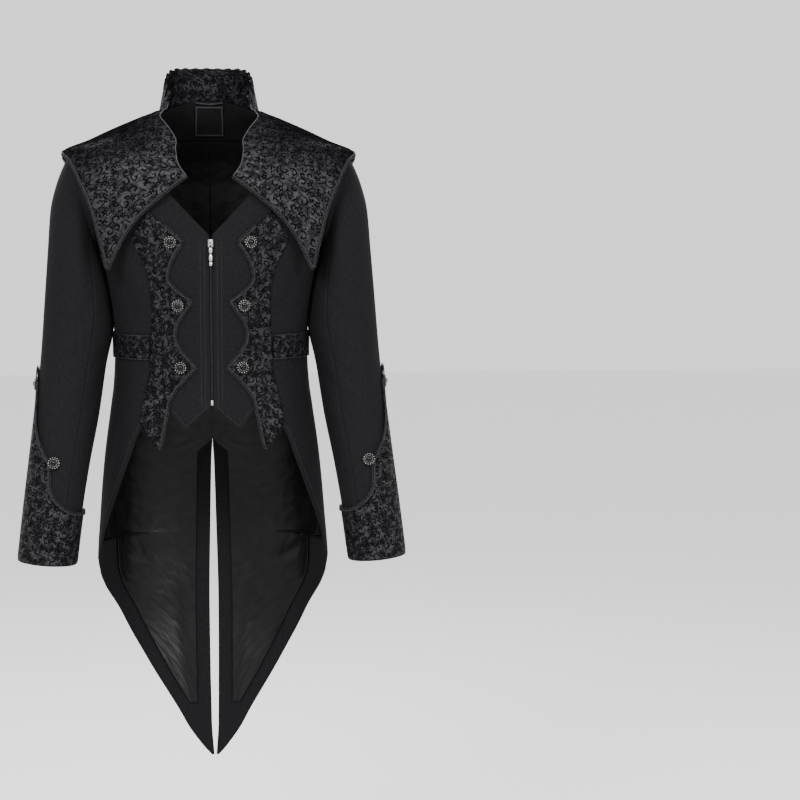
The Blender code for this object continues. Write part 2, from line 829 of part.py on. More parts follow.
def trim_edges():
    """Matching stations of the trim's scalloped inner edge and its outer edge."""
    steps = 4
    inner = []
    for a, b in zip(TRIM_INNER, TRIM_INNER[1:]):
        for i in range(steps):
            t = i / steps
            bend = t
            if a.point and not b.point:
                bend = math.sin(t * math.pi / 2)
            elif b.point and not a.point and a is not TRIM_INNER[0]:
                bend = 1 - math.cos(t * math.pi / 2)
            inner.append(Line(a.z + (b.z - a.z) * t, a.x + (b.x - a.x) * bend))
    inner.append(Line(TRIM_INNER[-1].z, TRIM_INNER[-1].x))
    lengths = [0.0]
    for a, b in zip(inner, inner[1:]):
        lengths.append(lengths[-1] + abs(b.z - a.z))
    outer = [between(TRIM_OUTER, length / lengths[-1]) for length in lengths]
    return inner, outer


def front_trim(side):
    """The brocade facing strip on the front, with three scallop points and a hanging tip."""
    inner, outer = trim_edges()
    columns = 3
    grid = []
    for a, b in zip(inner, outer):
        row = []
        for i in range(columns + 1):
            z = a.z + (b.z - a.z) * i / columns
            x = a.x + (b.x - a.x) * i / columns
            point = surface(BODY, z, angle_at(BODY, z, x, FRONT), OVERLAY)
            row.append(mirrored(point, side))
        grid.append(row)
    cloth(side_name("front_trim", side), grid, Vector((0, -1, 0)), BROCADE, "brocade")
    lift = OVERLAY + BRAID_RADIUS + EDGE_GAP
    points = []
    for line in inner[2:]:
        x = line.x + BRAID_RADIUS
        points.append(mirrored(surface(BODY, line.z, angle_at(BODY, line.z, x, FRONT), lift), side))
    braid(side_name("trim_braid", side), points)


def sleeve_ring(section, angle):
    """One point of a sleeve's section: 0 degrees is the outer side, 90 the front."""
    turn = math.radians(angle)
    share = 2.0 / SLEEVE_FULLNESS
    middle_x = (section.outer_x + section.inner_x) / 2
    middle_z = (section.outer_z + section.inner_z) / 2
    reach = power(math.cos(turn), share)
    x = middle_x + (section.outer_x - section.inner_x) / 2 * reach
    z = middle_z + (section.outer_z - section.inner_z) / 2 * reach
    y = -section.forward - section.depth * power(math.sin(turn), share)
    if section.step < 1.0:
        face = FRONT if y < 0 else BACK
        at = min(max(z, UNDERARM.z + 0.0001), SHOULDER_TIP.z - 0.0001)
        seam = on_ring(BODY, at, armhole_angle(at, face))
        y += (seam.y - y) * (1.0 - section.step)
    return Vector((x, y, z))


def sleeve_surface(step, angle, out=0.0):
    """A point of the sleeve, moved out along its own normal."""
    section = read(SLEEVE, "step", step)
    point = sleeve_ring(section, angle)
    if out == 0.0:
        return point
    near = read(SLEEVE, "step", min(step + 0.1, SLEEVE_HEM_STEP))
    far = read(SLEEVE, "step", step - 0.1)
    around = sleeve_ring(section, angle + 3) - sleeve_ring(section, angle - 3)
    along = sleeve_ring(near, angle) - sleeve_ring(far, angle)
    normal = around.cross(along)
    return point + normal.normalized() * out


def sleeve_panel(name, side, steps, start, end, columns):
    """Part of a sleeve between two seams."""
    grid = []
    for step in steps:
        row = []
        for i in range(columns + 1):
            angle = start + (end - start) * i / columns
            row.append(mirrored(sleeve_surface(step, angle), side))
        grid.append(row)
    middle = (start + end) / 2
    face = sleeve_surface(6, middle, MM) - sleeve_surface(6, middle)
    cloth(name, inset(grid, SLEEVE_SEAM / 2), mirrored(face, side), TWILL, "twill")


def sleeve(side):
    """Top and under sleeve, the brocade cuff, its braid and its buttons."""
    steps = [0, 0.5, 1, 1.5, 2, 3, 4, 5, 6, 7, 8, 9, 10, 11]
    start = UNDER_SLEEVE_END - 360.0
    sleeve_panel(side_name("top_sleeve", side), side, steps, start, UNDER_SLEEVE_START, 10)
    sleeve_panel(
        side_name("under_sleeve", side), side, steps, UNDER_SLEEVE_START, UNDER_SLEEVE_END, 6
    )
    count = CUFF_COLUMNS
    grid = []
    rows = 4
    edge = []
    for j in range(rows + 1):
        row = []
        for i in range(count):
            angle = 360.0 * i / count
            fold = min(angle, 360.0 - angle)
            top = read(CUFF_EDGE, "angle", fold).rise
            step = top + (SLEEVE_HEM_STEP - top) * j / rows
            row.append(mirrored(sleeve_surface(step, angle, OVERLAY), side))
        grid.append(row)
    face = Vector((0, -1, 0))
    obj = cloth(side_name("cuff", side), grid, face, BROCADE, "brocade", closed=True)
    orient_tube(obj)
    lift = OVERLAY + BRAID_RADIUS + EDGE_GAP
    for i in range(-CUFF_BRAID_HALF, CUFF_BRAID_HALF + 1):
        angle = CUFF_BRAID_END * i / CUFF_BRAID_HALF
        step = read(CUFF_EDGE, "angle", abs(angle)).rise + CUFF_BRAID_DROP
        edge.append(mirrored(sleeve_surface(step, angle, lift), side))
    braid(side_name("cuff_braid", side), edge)
    for number, spot in enumerate(CUFF_BUTTONS, 1):
        base = sleeve_surface(spot.rise, spot.angle, OVERLAY + EDGE_GAP)
        top = sleeve_surface(spot.rise, spot.angle, OVERLAY + EDGE_GAP + MM)
        name = side_name(f"cuff_button_{number}", side)
        button(name, mirrored(base, side), mirrored(top - base, side))


def orient_tube(obj):
    """Turns a tube's faces outwards, judged by its face farthest to +X."""
    build = bmesh.new()
    build.from_mesh(obj.data)
    build.normal_update()
    centre = sum((v.co for v in build.verts), Vector()) / len(build.verts)
    face = max(build.faces, key=lambda f: (f.calc_center_median() - centre).x)
    if face.normal.x < 0:
        bmesh.ops.reverse_faces(build, faces=build.faces[:])
    build.to_mesh(obj.data)
    build.free()


def button(name, base, normal, radius=BUTTON_RADIUS):
    """A shank button with a petalled metal rim and a domed middle."""
    profile = [
        (0.0, 0.0),
        (radius * 0.96, 0.0),
        (radius, 0.0010),
        (radius * 0.92, 0.0028),
        (radius * 0.66, 0.0024),
        (radius * 0.56, 0.0040),
        (radius * 0.30, BUTTON_HEIGHT * 0.93),
        (0.0, BUTTON_HEIGHT),
    ]
    mesh = bpy.data.meshes.new(name)
    build = bmesh.new()
    petals = 12
    rings = []
    for reach, height in profile[1:-1]:
        ring = []
        for i in range(petals):
            wave = 1.0 - 0.07 * (i % 2) * (1 if reach > radius * 0.9 else 0)
            turn = 2 * math.pi * i / petals
            ring.append(
                build.verts.new((reach * wave * math.cos(turn), reach * wave * math.sin(turn), height))
            )
        rings.append(ring)
    for lower, upper in zip(rings, rings[1:]):
        for i in range(petals):
            j = (i + 1) % petals
            build.faces.new((lower[i], lower[j], upper[j], upper[i]))
    build.faces.new(list(reversed(rings[0])))
    build.faces.new(rings[-1])
    build.to_mesh(mesh)
    build.free()
    mesh.shade_smooth()
    obj = put(name, mesh, "silver")
    obj.location = base
    obj.rotation_mode = "QUATERNION"
    obj.rotation_quaternion = Vector((0, 0, 1)).rotation_difference(normal.normalized())
    return obj


def belt_level(angle, x):
    """The belt's middle height, which sags at the centre back."""
    level = read(BELT_LEVEL[::-1], "x", angle).z if angle != BACK else BELT_LEVEL[0].z
    if angle < 0:
        level -= BELT_SAG * math.exp(-(x / BELT_SAG_REACH) ** 2)
    return level


def belt():
    """Two half belts from the trims round to the buckle, with loops, buckle and prong."""
    for side in (LEFT, RIGHT):
        grid = [[], []]
        front = angle_at(BODY, BELT_MIDDLE, BELT_FRONT_X, FRONT)
        back = BACK + BELT_END_GAP
        for i in range(BELT_COLUMNS + 1):
            angle = front + (back - front) * i / BELT_COLUMNS
            x = on_ring(BODY, BELT_MIDDLE, angle).x
            middle = belt_level(angle, x)
            for row, rise in zip(grid, (BELT_HALF_HEIGHT, -BELT_HALF_HEIGHT)):
                row.append(mirrored(surface(BODY, middle + rise, angle, BELT_OUT), side))
        cloth(side_name("belt", side), grid, Vector((side, 0, 0)), BROCADE, "brocade")
        angle = angle_at(BODY, BELT_MIDDLE, BELT_LOOP_X, BACK)
        middle = belt_level(angle, BELT_LOOP_X)
        tall = BELT_HALF_HEIGHT + BELT_LOOP_RISE
        grid = []
        for j in range(5):
            z = middle + tall - 2 * tall * j / 4
            row = []
            for i in range(3):
                x = BELT_LOOP_X + BELT_LOOP_WIDTH * (0.5 - i / 2)
                turn = angle_at(BODY, z, x, BACK)
                out = 2 * BELT_OUT - MM
                row.append(mirrored(surface(BODY, z, turn, out), side))
            grid.append(row)
        cloth(side_name("belt_loop", side), grid, Vector((0, 1, 0)), TWILL, "twill")
    buckle()


def buckle_reach(turn, inward):
    """The buckle's rounded, scalloped outline at one angle, drawn in by an inset."""
    half_w = BUCKLE_WIDTH / 2 - inward
    half_h = BUCKLE_HEIGHT / 2 - inward
    x = half_w * power(math.cos(turn), BUCKLE_SQUARENESS)
    z = half_h * power(math.sin(turn), BUCKLE_SQUARENESS)
    wave = BUCKLE_SCALLOP_DEPTH * math.cos(BUCKLE_SCALLOPS * turn)
    if inward > 0:
        wave *= 0.3
    length = math.hypot(x, z)
    return x * (1 + wave / length), z * (1 + wave / length)


def buckle():
    """The ornate frame buckle at the centre back, and its prong."""
    middle = belt_level(BACK, 0.0)
    edges = (middle + BELT_HALF_HEIGHT, middle - BELT_HALF_HEIGHT)
    base = max(surface(BODY, z, BACK, BELT_OUT).y for z in edges) + EDGE_GAP
    section = [
        (0.0, 0.0),
        (0.0, BUCKLE_THICK * 0.5),
        (BUCKLE_FRAME * 0.25, BUCKLE_THICK),
        (BUCKLE_FRAME * 0.55, BUCKLE_THICK * 0.6),
        (BUCKLE_FRAME * 0.85, BUCKLE_THICK * 0.9),
        (BUCKLE_FRAME, BUCKLE_THICK * 0.4),
        (BUCKLE_FRAME, 0.0),
    ]
    mesh = bpy.data.meshes.new("buckle")
    build = bmesh.new()
    rings = []
    for i in range(BUCKLE_STATIONS):
        turn = 2 * math.pi * i / BUCKLE_STATIONS
        ring = []
        for inward, height in section:
            x, z = buckle_reach(turn, inward)
            ring.append(build.verts.new((BUCKLE_X + x, base + height, middle + z)))
        rings.append(ring)
    count = len(section)
    for i in range(BUCKLE_STATIONS):
        here = rings[i]
        after = rings[(i + 1) % BUCKLE_STATIONS]
        for j in range(count):
            k = (j + 1) % count
            build.faces.new((here[j], here[k], after[k], after[j]))
    bmesh.ops.recalc_face_normals(build, faces=build.faces[:])
    build.to_mesh(mesh)
    build.free()
    mesh.shade_smooth()
    put("buckle", mesh, "silver")
    reach = BUCKLE_WIDTH / 2 - BUCKLE_FRAME - PRONG_END_GAP
    y = base + PRONG_RADIUS - EDGE_GAP / 2
    ends = [Vector((BUCKLE_X + s * reach, y, middle)) for s in (-1, 1)]
    braid("buckle_prong", ends, PRONG_RADIUS, "silver")


def front_closure():
    """Zip tape and chain, bottom stop, slider and its hanging pull tab."""
    grid = []
    for z in levels(ZIP_TOP, ZIP_BOTTOM, 8):
        turn = angle_at(BODY, z, TAPE_HALF, FRONT)
        row = []
        for share in (-1, -0.33, 0.33, 1):
            angle = FRONT - (FRONT - turn) * abs(share)
            point = surface(BODY, z, angle, -(TWILL + EDGE_GAP * 2))
            row.append(mirrored(point, -1 if share < 0 else 1))
        grid.append(row)
    cloth("zip_tape", grid, Vector((0, -1, 0)), LINING, "twill")
    grid = []
    for z in levels(ZIP_TOP - CHAIN_DROP, ZIP_BOTTOM + CHAIN_END_RISE, 8):
        y = surface(BODY, z, FRONT).y - EDGE_GAP / 2
        grid.append([Vector((ZIP_HALF * share, y, z)) for share in (-1, 1)])
    cloth("zip_chain", grid, Vector((0, -1, 0)), TWILL, "silver")
    block("zip_stop", ZIP_BOTTOM + STOP_RISE, STOP_SIZE, 0.0)
    slider_y = block("zip_slider", ZIP_TOP - SLIDER_DROP, SLIDER_SIZE, SLIDER_OUT)
    pull_y = slider_y - SLIDER_SIZE[1] / 2 - PULL_EYE * PULL_FLAT - EDGE_GAP
    pull(pull_y)


def block(name, z, size, out):
    """A small bevelled metal block on the zip, centred on the front edge."""
    y = surface(BODY, z, FRONT).y - out
    mesh = bpy.data.meshes.new(name)
    build = bmesh.new()
    bmesh.ops.create_cube(build, size=1.0)
    bmesh.ops.scale(build, vec=size, verts=build.verts)
    build.to_mesh(mesh)
    build.free()
    obj = put(name, mesh, "silver")
    obj.location = (0.0, y, z)
    edge = obj.modifiers.new("edges", "BEVEL")
    edge.width = min(size) * 0.22
    edge.segments = 1
    return y


def pull(y):
    """The beaded pull tab, a turned drop on a flat link, its origin on its pivot."""
    beads = [
        (0.0, PULL_EYE * 0.7),
        (0.06, PULL_EYE),
        (0.11, PULL_EYE),
        (0.17, 0.0013),
        (0.24, 0.0026),
        (0.36, 0.0030),
        (0.46, 0.0016),
        (0.54, 0.0024),
        (0.66, 0.0030),
        (0.78, 0.0018),
        (0.88, 0.0026),
        (1.0, 0.0010),
    ]
    mesh = bpy.data.meshes.new("zip_pull")
    build = bmesh.new()
    sides = 8
    rings = []
    for share, radius in beads:
        ring = []
        for i in range(sides):
            turn = 2 * math.pi * (i + 0.5) / sides
            place = (radius * math.cos(turn), radius * PULL_FLAT * math.sin(turn), -PULL_LENGTH * share)
            ring.append(build.verts.new(place))
        rings.append(ring)
    for upper, lower in zip(rings, rings[1:]):
        for i in range(sides):
            j = (i + 1) % sides
            build.faces.new((upper[i], lower[i], lower[j], upper[j]))
    build.faces.new(rings[0])
    build.faces.new(list(reversed(rings[-1])))
    bmesh.ops.recalc_face_normals(build, faces=build.faces[:])
    build.to_mesh(mesh)
    build.free()
    mesh.shade_smooth()
    obj = put("zip_pull", mesh, "silver")
    obj.location = (0.0, y, PULL_PIVOT_Z)


def inside():
    """Back neck facing, linings, neck label and hanger loop."""
    depth = -(TWILL + LINING_GAP)
    half = []
    columns = 6
    for j in range(5):
        row = []
        for i in range(columns + 1):
            angle = BACK + (FACING_END_ANGLE - BACK) * i / columns
            top = neck_level(angle) - SEAM * 2
            z = top + (FACING_BOTTOM - top) * j / 4
            row.append(surface(BODY, z, angle, depth))
        half.append(row)
    grid = []
    for row in half:
        left = [mirrored(point, LEFT) for point in reversed(row)]
        grid.append(left + row[1:])
    cloth("neck_facing", grid, Vector((0, 1, 0)), LINING, "twill")

    def lining_inner(z):
        x = 0.0
        if z < LINING_VENT_TOP:
            ease = min((LINING_VENT_TOP - z) / LINING_VENT_EASE, 1.0)
            x = x_on(VENT, z) + LINING_INSET * ease
        return angle_at(BODY, z, x, BACK)

    def lining_outer(z):
        if z > LINING_ARMHOLE_BOTTOM:
            return armhole_angle(z, BACK) - LINING_ARMHOLE_INSET
        if z > LINING_HEM_TOP:
            return LINING_SIDE_ANGLE
        x = x_on(TAIL_HEM, z) - LINING_INSET
        return min(angle_at(BODY, z, x, BACK), LINING_SIDE_ANGLE)

    zs = [FACING_BOTTOM - SEAM * 3]
    zs += cut_levels(LINING_TOP_LEVEL, LINING_LAST_LEVEL)[::2]
    zs += [LINING_TIP]
    for side in (LEFT, RIGHT):
        body_panel(
            side_name("lining", side), side, zs, lining_inner, lining_outer, 4, "satin",
            out=depth, wall=LINING,
        )
    depth -= LINING + LABEL_GAP
    grid = []
    for z in levels(LABEL_TOP, LABEL_BOTTOM, 4):
        row = []
        for i in range(7):
            x = LABEL_HALF * (i / 3 - 1)
            angle = angle_at(BODY, z, abs(x), BACK)
            row.append(mirrored(surface(BODY, z, angle, depth), -1 if x < 0 else 1))
        grid.append(row)
    cloth("label", grid, Vector((0, 1, 0)), LINING, "label")
    ends = []
    for i in range(9):
        x = LABEL_HALF * (i / 4 - 1)
        z = LABEL_TOP + LOOP_RISE - LOOP_DROOP * (1 - (x / LABEL_HALF) ** 2)
        angle = angle_at(BODY, z, abs(x), BACK)
        ends.append(mirrored(surface(BODY, z, angle, depth - EDGE_GAP / 2), -1 if x < 0 else 1))
    braid("hanger_loop", ends, LOOP_RADIUS, "twill")


for old in list(bpy.data.objects):
    bpy.data.objects.remove(old, do_unlink=True)
coat = bpy.data.collections.new(NAME)
bpy.context.scene.collection.children.link(coat)

for each_side in (LEFT, RIGHT):
    front_panels(each_side)
    back_panels(each_side)
    sleeve(each_side)
    front_trim(each_side)
    for count, spot in enumerate(FRONT_BUTTONS, 1):
        turn = angle_at(BODY, spot.z, spot.x, FRONT)
        seat = surface(BODY, spot.z, turn, OVERLAY + EDGE_GAP)
        above = surface(BODY, spot.z, turn, OVERLAY + EDGE_GAP + MM)
        button(
            side_name(f"front_button_{count}", each_side),
            mirrored(seat, each_side),
            mirrored(above - seat, each_side),
        )
collar()
mantle()
belt()
front_closure()
inside()
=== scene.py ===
"""Black tailcoat with a brocade cape collar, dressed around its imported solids.

Metres, +Z up, the front faces -Y. A level is a height z. An angle runs round the body
from the side seam (0 degrees) to the centre front (90) or the centre back (-90).
"""

import logging
import math
from dataclasses import dataclass, field
from enum import Enum

import bpy
import numpy as np
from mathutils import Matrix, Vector


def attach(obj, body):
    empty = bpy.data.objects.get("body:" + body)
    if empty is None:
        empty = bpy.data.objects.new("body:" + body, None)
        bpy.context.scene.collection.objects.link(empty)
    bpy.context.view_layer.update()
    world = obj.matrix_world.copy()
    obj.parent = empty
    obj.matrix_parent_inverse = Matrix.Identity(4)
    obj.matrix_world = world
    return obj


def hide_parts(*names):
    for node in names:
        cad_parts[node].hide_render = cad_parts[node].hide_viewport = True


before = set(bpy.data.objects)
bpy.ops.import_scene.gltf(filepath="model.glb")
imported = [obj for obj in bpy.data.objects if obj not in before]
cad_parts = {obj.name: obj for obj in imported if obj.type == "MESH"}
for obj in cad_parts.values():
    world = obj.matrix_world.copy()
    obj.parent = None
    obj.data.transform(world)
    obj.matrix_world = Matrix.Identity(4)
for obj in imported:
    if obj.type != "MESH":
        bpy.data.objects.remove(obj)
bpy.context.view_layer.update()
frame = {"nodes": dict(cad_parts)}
COAT = "coat"
PULL = "pull"
MM = 0.001
FRONT = 90.0
BACK = -90.0
Array = np.ndarray
Tree = bpy.types.NodeTree
Socket = bpy.types.NodeSocket
Material = bpy.types.Material
log = logging.getLogger("tailcoat")

# Walls, gaps and heights above the body, as the solids have them
TWILL_WALL = 1.2 * MM
BROCADE_WALL = 1.5 * MM
LINING_WALL = 1.0 * MM
SEAM = 0.6 * MM
EDGE_GAP = 0.4 * MM
OVERLAY = 2.6 * MM
BELT_OUT = 3.1 * MM
LINING_DEPTH = -(TWILL_WALL + 3.2 * MM)
LABEL_DEPTH = LINING_DEPTH - LINING_WALL - 1.2 * MM
BRAID_RADIUS = 1.6 * MM
GRID = 4.5 * MM
FINE = 3.3 * MM


class Side(Enum):
    """A side of the coat: LEFT at -X, RIGHT at +X."""

    LEFT = -1
    RIGHT = 1

    def tag(self, stem: str) -> str:
        """The stem with this side's letter."""
        return f"{stem}_{'L' if self is Side.LEFT else 'R'}"


class Held(Enum):
    """How a cut of cloth is held."""

    HUNG = "hung"
    GATHERED = "gathered"


class Table:
    """Rows of numbers, read smoothly by their first column."""

    def __init__(self, *rows: tuple[float, ...]) -> None:
        """Keeps the rows in rising order with a slope at each that never overshoots."""
        data = np.array(sorted(rows), float)
        self.keys = data[:, 0]
        self.values = data[:, 1:]
        self.spans = np.diff(self.keys)
        secants = np.diff(self.values, axis=0) / self.spans[:, None]
        before = secants[:-1]
        after = secants[1:]
        same = before * after > 0
        total = np.where(same, before + after, 1.0)
        inner = np.where(same, 2 * before * after / total, 0.0)
        self.slopes = np.vstack([secants[:1], inner, secants[-1:]])

    def at(self, key: Array | float) -> Array:
        """The other columns at a key.

        Args:
            key: one value or an array of values of the first column.

        Returns:
            An array with one more axis, which holds the columns.
        """
        key = np.clip(np.asarray(key, float), self.keys[0], self.keys[-1])
        i = np.clip(np.searchsorted(self.keys, key, side="right") - 1, 0, len(self.spans) - 1)
        span = self.spans[i][..., None]
        t = (key - self.keys[i])[..., None] / span
        return (
            (2 * t**3 - 3 * t**2 + 1) * self.values[i]
            + (t**3 - 2 * t**2 + t) * span * self.slopes[i]
            + (3 * t**2 - 2 * t**3) * self.values[i + 1]
            + (t**3 - t**2) * span * self.slopes[i + 1]
        )

    def x(self, key: Array | float) -> Array:
        """The first of the other columns at a key."""
        return self.at(key)[..., 0]


@dataclass(frozen=True)
class Crease:
    """A soft ridge, or a trough where its height is negative, between two places of a form."""

    side: Side
    start: tuple[float, float]
    end: tuple[float, float]
    height: float
    width: float


def creased(right: tuple, left: tuple) -> list[Crease]:
    """The creases of both sides of a form.

    Args:
        right: rows of two numbers for the start, two for the end, height and width in mm.
        left: the same for the LEFT side.

    Returns:
        The creases, those of the RIGHT side first.
    """
    return [
        Crease(side, row[:2], row[2:4], row[4] * MM, row[5] * MM)
        for side, rows in ((Side.RIGHT, right), (Side.LEFT, left))
        for row in rows
    ]


def power(value: Array, exponent: float | Array) -> Array:
    """A signed power, for rounded rectangles."""
    return np.copysign(np.abs(value) ** exponent, value)


def unit(vectors: Array) -> Array:
    """The vectors at length one."""
    length = np.linalg.norm(vectors, axis=-1, keepdims=True)
    return vectors / np.maximum(length, 1e-12)


def swell(points: Array, start: Array, end: Array, height: float, width: float) -> Array:
    """The height of one crease over many points.

    Args:
        points: where it is wanted, with x, y and z on the last axis.
        start: the crease's first end.
        end: its last end.
        height: how far it rises at its middle.
        width: how far from its line it falls to a third.

    Returns:
        The rise at each point, fading to nothing at both ends.
    """
    run = end - start
    share = np.clip((points - start) @ run / (run @ run), 0.0, 1.0)
    reach = np.linalg.norm(points - start - share[..., None] * run, axis=-1)
    taper = np.sin(np.pi * (0.12 + 0.76 * share)) ** 1.5
    return height * taper * np.exp(-((reach / width) ** 2))


@dataclass
class Form:
    """A hollow form round the body: its rings by level, and the creases on it.

    A ring has half width, depth to the front and to the back, its centre's depth and
    the fullness of its corners.
    """

    rings: Table
    creases: list[Crease] = field(default_factory=list)

    def ring(self, z: Array, angle: Array) -> Array:
        """Points of the rings, on the RIGHT side, without creases.

        Args:
            z: levels.
            angle: angles round the body.

        Returns:
            The points, with x, y and z on the last axis.
        """
        width, front, back, centre, fullness = np.moveaxis(self.rings.at(z), -1, 0)
        turn = np.radians(angle)
        share = 2.0 / fullness
        depth = np.where(np.asarray(angle) > 0, front, back)
        x = width * power(np.cos(turn), share)
        y = centre - depth * power(np.sin(turn), share)
        return np.stack([x, y, np.broadcast_to(z, x.shape)], axis=-1)

    def normal(self, z: Array, angle: Array) -> Array:
        """The outward direction.

        Args:
            z: levels.
            angle: angles round the body.

        Returns:
            A direction of length one for each.
        """
        turn = 1.5
        rise = 3 * MM
        around = self.ring(z, angle + turn) - self.ring(z, angle - turn)
        along = self.ring(z + rise, angle) - self.ring(z - rise, angle)
        return unit(np.cross(along, around))

    def point(
        self, z: Array | float, angle: Array | float, side: Side, out: Array | float = 0.0
    ) -> Array:
        """Points of the form with its creases.

        Args:
            z: levels.
            angle: angles round the body, of the same shape.
            side: the side of the coat.
            out: how far beyond the form, along its normal.

        Returns:
            The points, with x, y and z on the last axis.
        """
        z, angle = np.broadcast_arrays(np.asarray(z, float), np.asarray(angle, float))
        base = self.ring(z, angle)
        rise = np.zeros(z.shape) + out
        for crease in self.creases:
            if crease.side is side:
                ends = [self.ring(*np.array(end)) for end in (crease.start, crease.end)]
                rise = rise + swell(base, ends[0], ends[1], crease.height, crease.width)
        found = base + self.normal(z, angle) * rise[..., None]
        return found * np.array([side.value, 1.0, 1.0])

    def angle(self, z: Array | float, x: Array | float, face: float) -> Array:
        """The angle at which the form is x from the centre, on its front or back face."""
        width, _, _, _, fullness = np.moveaxis(self.rings.at(z), -1, 0)
        share = np.clip(x / width, 0.0, 1.0)
        return np.copysign(np.degrees(np.arccos(share ** (fullness / 2.0))), face)


def spread(start: float, end: float, step: float, ends: bool = True) -> Array:
    """Values about a step apart.

    Args:
        start: the first value.
        end: the last value.
        step: about how far apart they are.
        ends: True for closer values at both ends, where a seam turns in.

    Returns:
        The values, from start to end.
    """
    length = abs(end - start)
    count = max(2, round(length / step))
    shares = list(np.linspace(0.0, 1.0, count + 1))
    if ends and length > 8 * step:
        close = [1.2 * MM / length, 2.6 * MM / length]
        shares = sorted(set(shares) | set(close) | {1 - value for value in close})
    return start + (end - start) * np.array(shares)


def circle(middle: Array, first: Array, second: Array, count: int) -> Array:
    """Points evenly round a circle or ellipse, given by its middle and two of its radii."""
    turn = 2 * np.pi * np.arange(count) / count
    return middle + np.outer(np.cos(turn), first) + np.outer(np.sin(turn), second)


def lengths(points: Array, axis: int) -> Array:
    """How far along an axis of a grid each point lies, from the first."""
    steps = np.linalg.norm(np.diff(points, axis=axis), axis=-1)
    pad = [(1, 0) if i == axis else (0, 0) for i in range(steps.ndim)]
    return np.pad(np.cumsum(steps, axis=axis), pad)


@dataclass
class SleeveForm:
    """A sleeve's form by steps down the arm; angle 0 is its outer side and 90 its front.

    A section has its outer and inner outline (x, z), how far forward it hangs and its depth.
    """

    sections: Table
    body: Form
    creases: list[Crease] = field(default_factory=list)
    fullness: float = 2.15
    hem: float = 11.0
    armhole_low: tuple[float, float] = (-0.2225, 0.1710)
    armhole_high: tuple[float, float] = (-0.0600, 0.2005)

    def armhole_angle(self, z: Array, face: float) -> Array:
        """Finds the body's angle at the armhole, or at the side seam above and below it.

        Args:
            z: levels.
            face: FRONT or BACK.

        Returns:
            An angle for each level.
        """
        low_z, low_x = self.armhole_low
        high_z, high_x = self.armhole_high
        z = np.asarray(z, float)
        x = low_x + (z - low_z) / (high_z - low_z) * (high_x - low_x)
        found = self.body.angle(z, x, face)
        return np.where((z <= low_z) | (z >= high_z), 0.0, found)

    def ring(self, step: Array, angle: Array) -> Array:
        """Points of the sections, on the RIGHT side, without creases.

        Above step 1 they close in on the body's armhole.

        Args:
            step: steps down the arm.
            angle: angles round it.

        Returns:
            The points, with x, y and z on the last axis.
        """
        outer_x, outer_z, inner_x, inner_z, forward, depth = np.moveaxis(
            self.sections.at(step), -1, 0
        )
        turn = np.radians(angle)
        share = 2.0 / self.fullness
        reach = power(np.cos(turn), share)
        x = (outer_x + inner_x) / 2 + (outer_x - inner_x) / 2 * reach
        z = (outer_z + inner_z) / 2 + (outer_z - inner_z) / 2 * reach
        y = -forward - depth * power(np.sin(turn), share)
        top = np.clip(z, self.armhole_low[0] + 0.1 * MM, self.armhole_high[0] - 0.1 * MM)
        ahead = self.body.ring(top, self.armhole_angle(top, FRONT))[..., 1]
        behind = self.body.ring(top, self.armhole_angle(top, BACK))[..., 1]
        seam = np.where(y < 0, ahead, behind)
        y = y + (seam - y) * np.clip(1.0 - np.asarray(step, float), 0.0, 1.0)
        return np.stack([x, y, z], axis=-1)

    def point(
        self, step: Array | float, angle: Array | float, side: Side, out: Array | float = 0.0
    ) -> Array:
        """Points of the sleeve with its creases.

        Args:
            step: steps down the arm.
            angle: angles round it.
            side: the side of the coat.
            out: how far beyond the sleeve, along its normal.

        Returns:
            The points, with x, y and z on the last axis.
        """
        step, angle = np.broadcast_arrays(np.asarray(step, float), np.asarray(angle, float))
        base = self.ring(step, angle)
        near = np.minimum(step + 0.1, self.hem)
        around = self.ring(step, angle + 3) - self.ring(step, angle - 3)
        along = self.ring(near, angle) - self.ring(np.maximum(step - 0.1, 0.0), angle)
        rise = np.zeros(step.shape) + out
        for crease in self.creases:
            if crease.side is side:
                ends = [self.ring(*np.array(end)) for end in (crease.start, crease.end)]
                swelling = swell(base, ends[0], ends[1], crease.height, crease.width)
                rise = rise + swelling * np.clip(step - 0.4, 0.0, 1.0)
        found = base + unit(np.cross(around, along)) * rise[..., None]
        return found * np.array([side.value, 1.0, 1.0])


# Creases: the coat is well pressed, so they are long, soft and few
BODY_CREASES = creased(
    right=(
        (-0.205, 36, -0.325, 50, -1.9, 12), (-0.245, 14, -0.345, 33, 1.5, 10),
        (-0.390, 34, -0.520, 26, -1.8, 13), (-0.430, 12, -0.650, 9, 2.2, 17),
        (-0.395, -14, -0.700, -19, -2.4, 16), (-0.410, -42, -0.880, -44, 2.6, 20),
        (-0.470, -63, -0.820, -66, -2.1, 15), (-0.300, -34, -0.338, -62, 1.4, 8),
        (-0.255, -20, -0.315, -48, -1.5, 11), (-0.190, -48, -0.290, -58, 1.3, 13),
        (-0.720, -72, -0.950, -78, 1.5, 12),
    ),
    left=(
        (-0.210, 34, -0.335, 47, -1.7, 13), (-0.260, 12, -0.340, 28, 1.3, 9),
        (-0.385, 30, -0.560, 21, -2.0, 14), (-0.450, 10, -0.660, 6, 1.9, 15),
        (-0.400, -18, -0.720, -24, -2.1, 17), (-0.440, -38, -0.840, -47, 2.4, 18),
        (-0.430, -60, -0.780, -68, -1.8, 16), (-0.310, -38, -0.342, -66, 1.2, 8),
        (-0.240, -24, -0.310, -50, -1.7, 12), (-0.200, -52, -0.280, -64, 1.2, 12),
        (-0.760, -70, -0.980, -80, 1.7, 13),
    ),
)
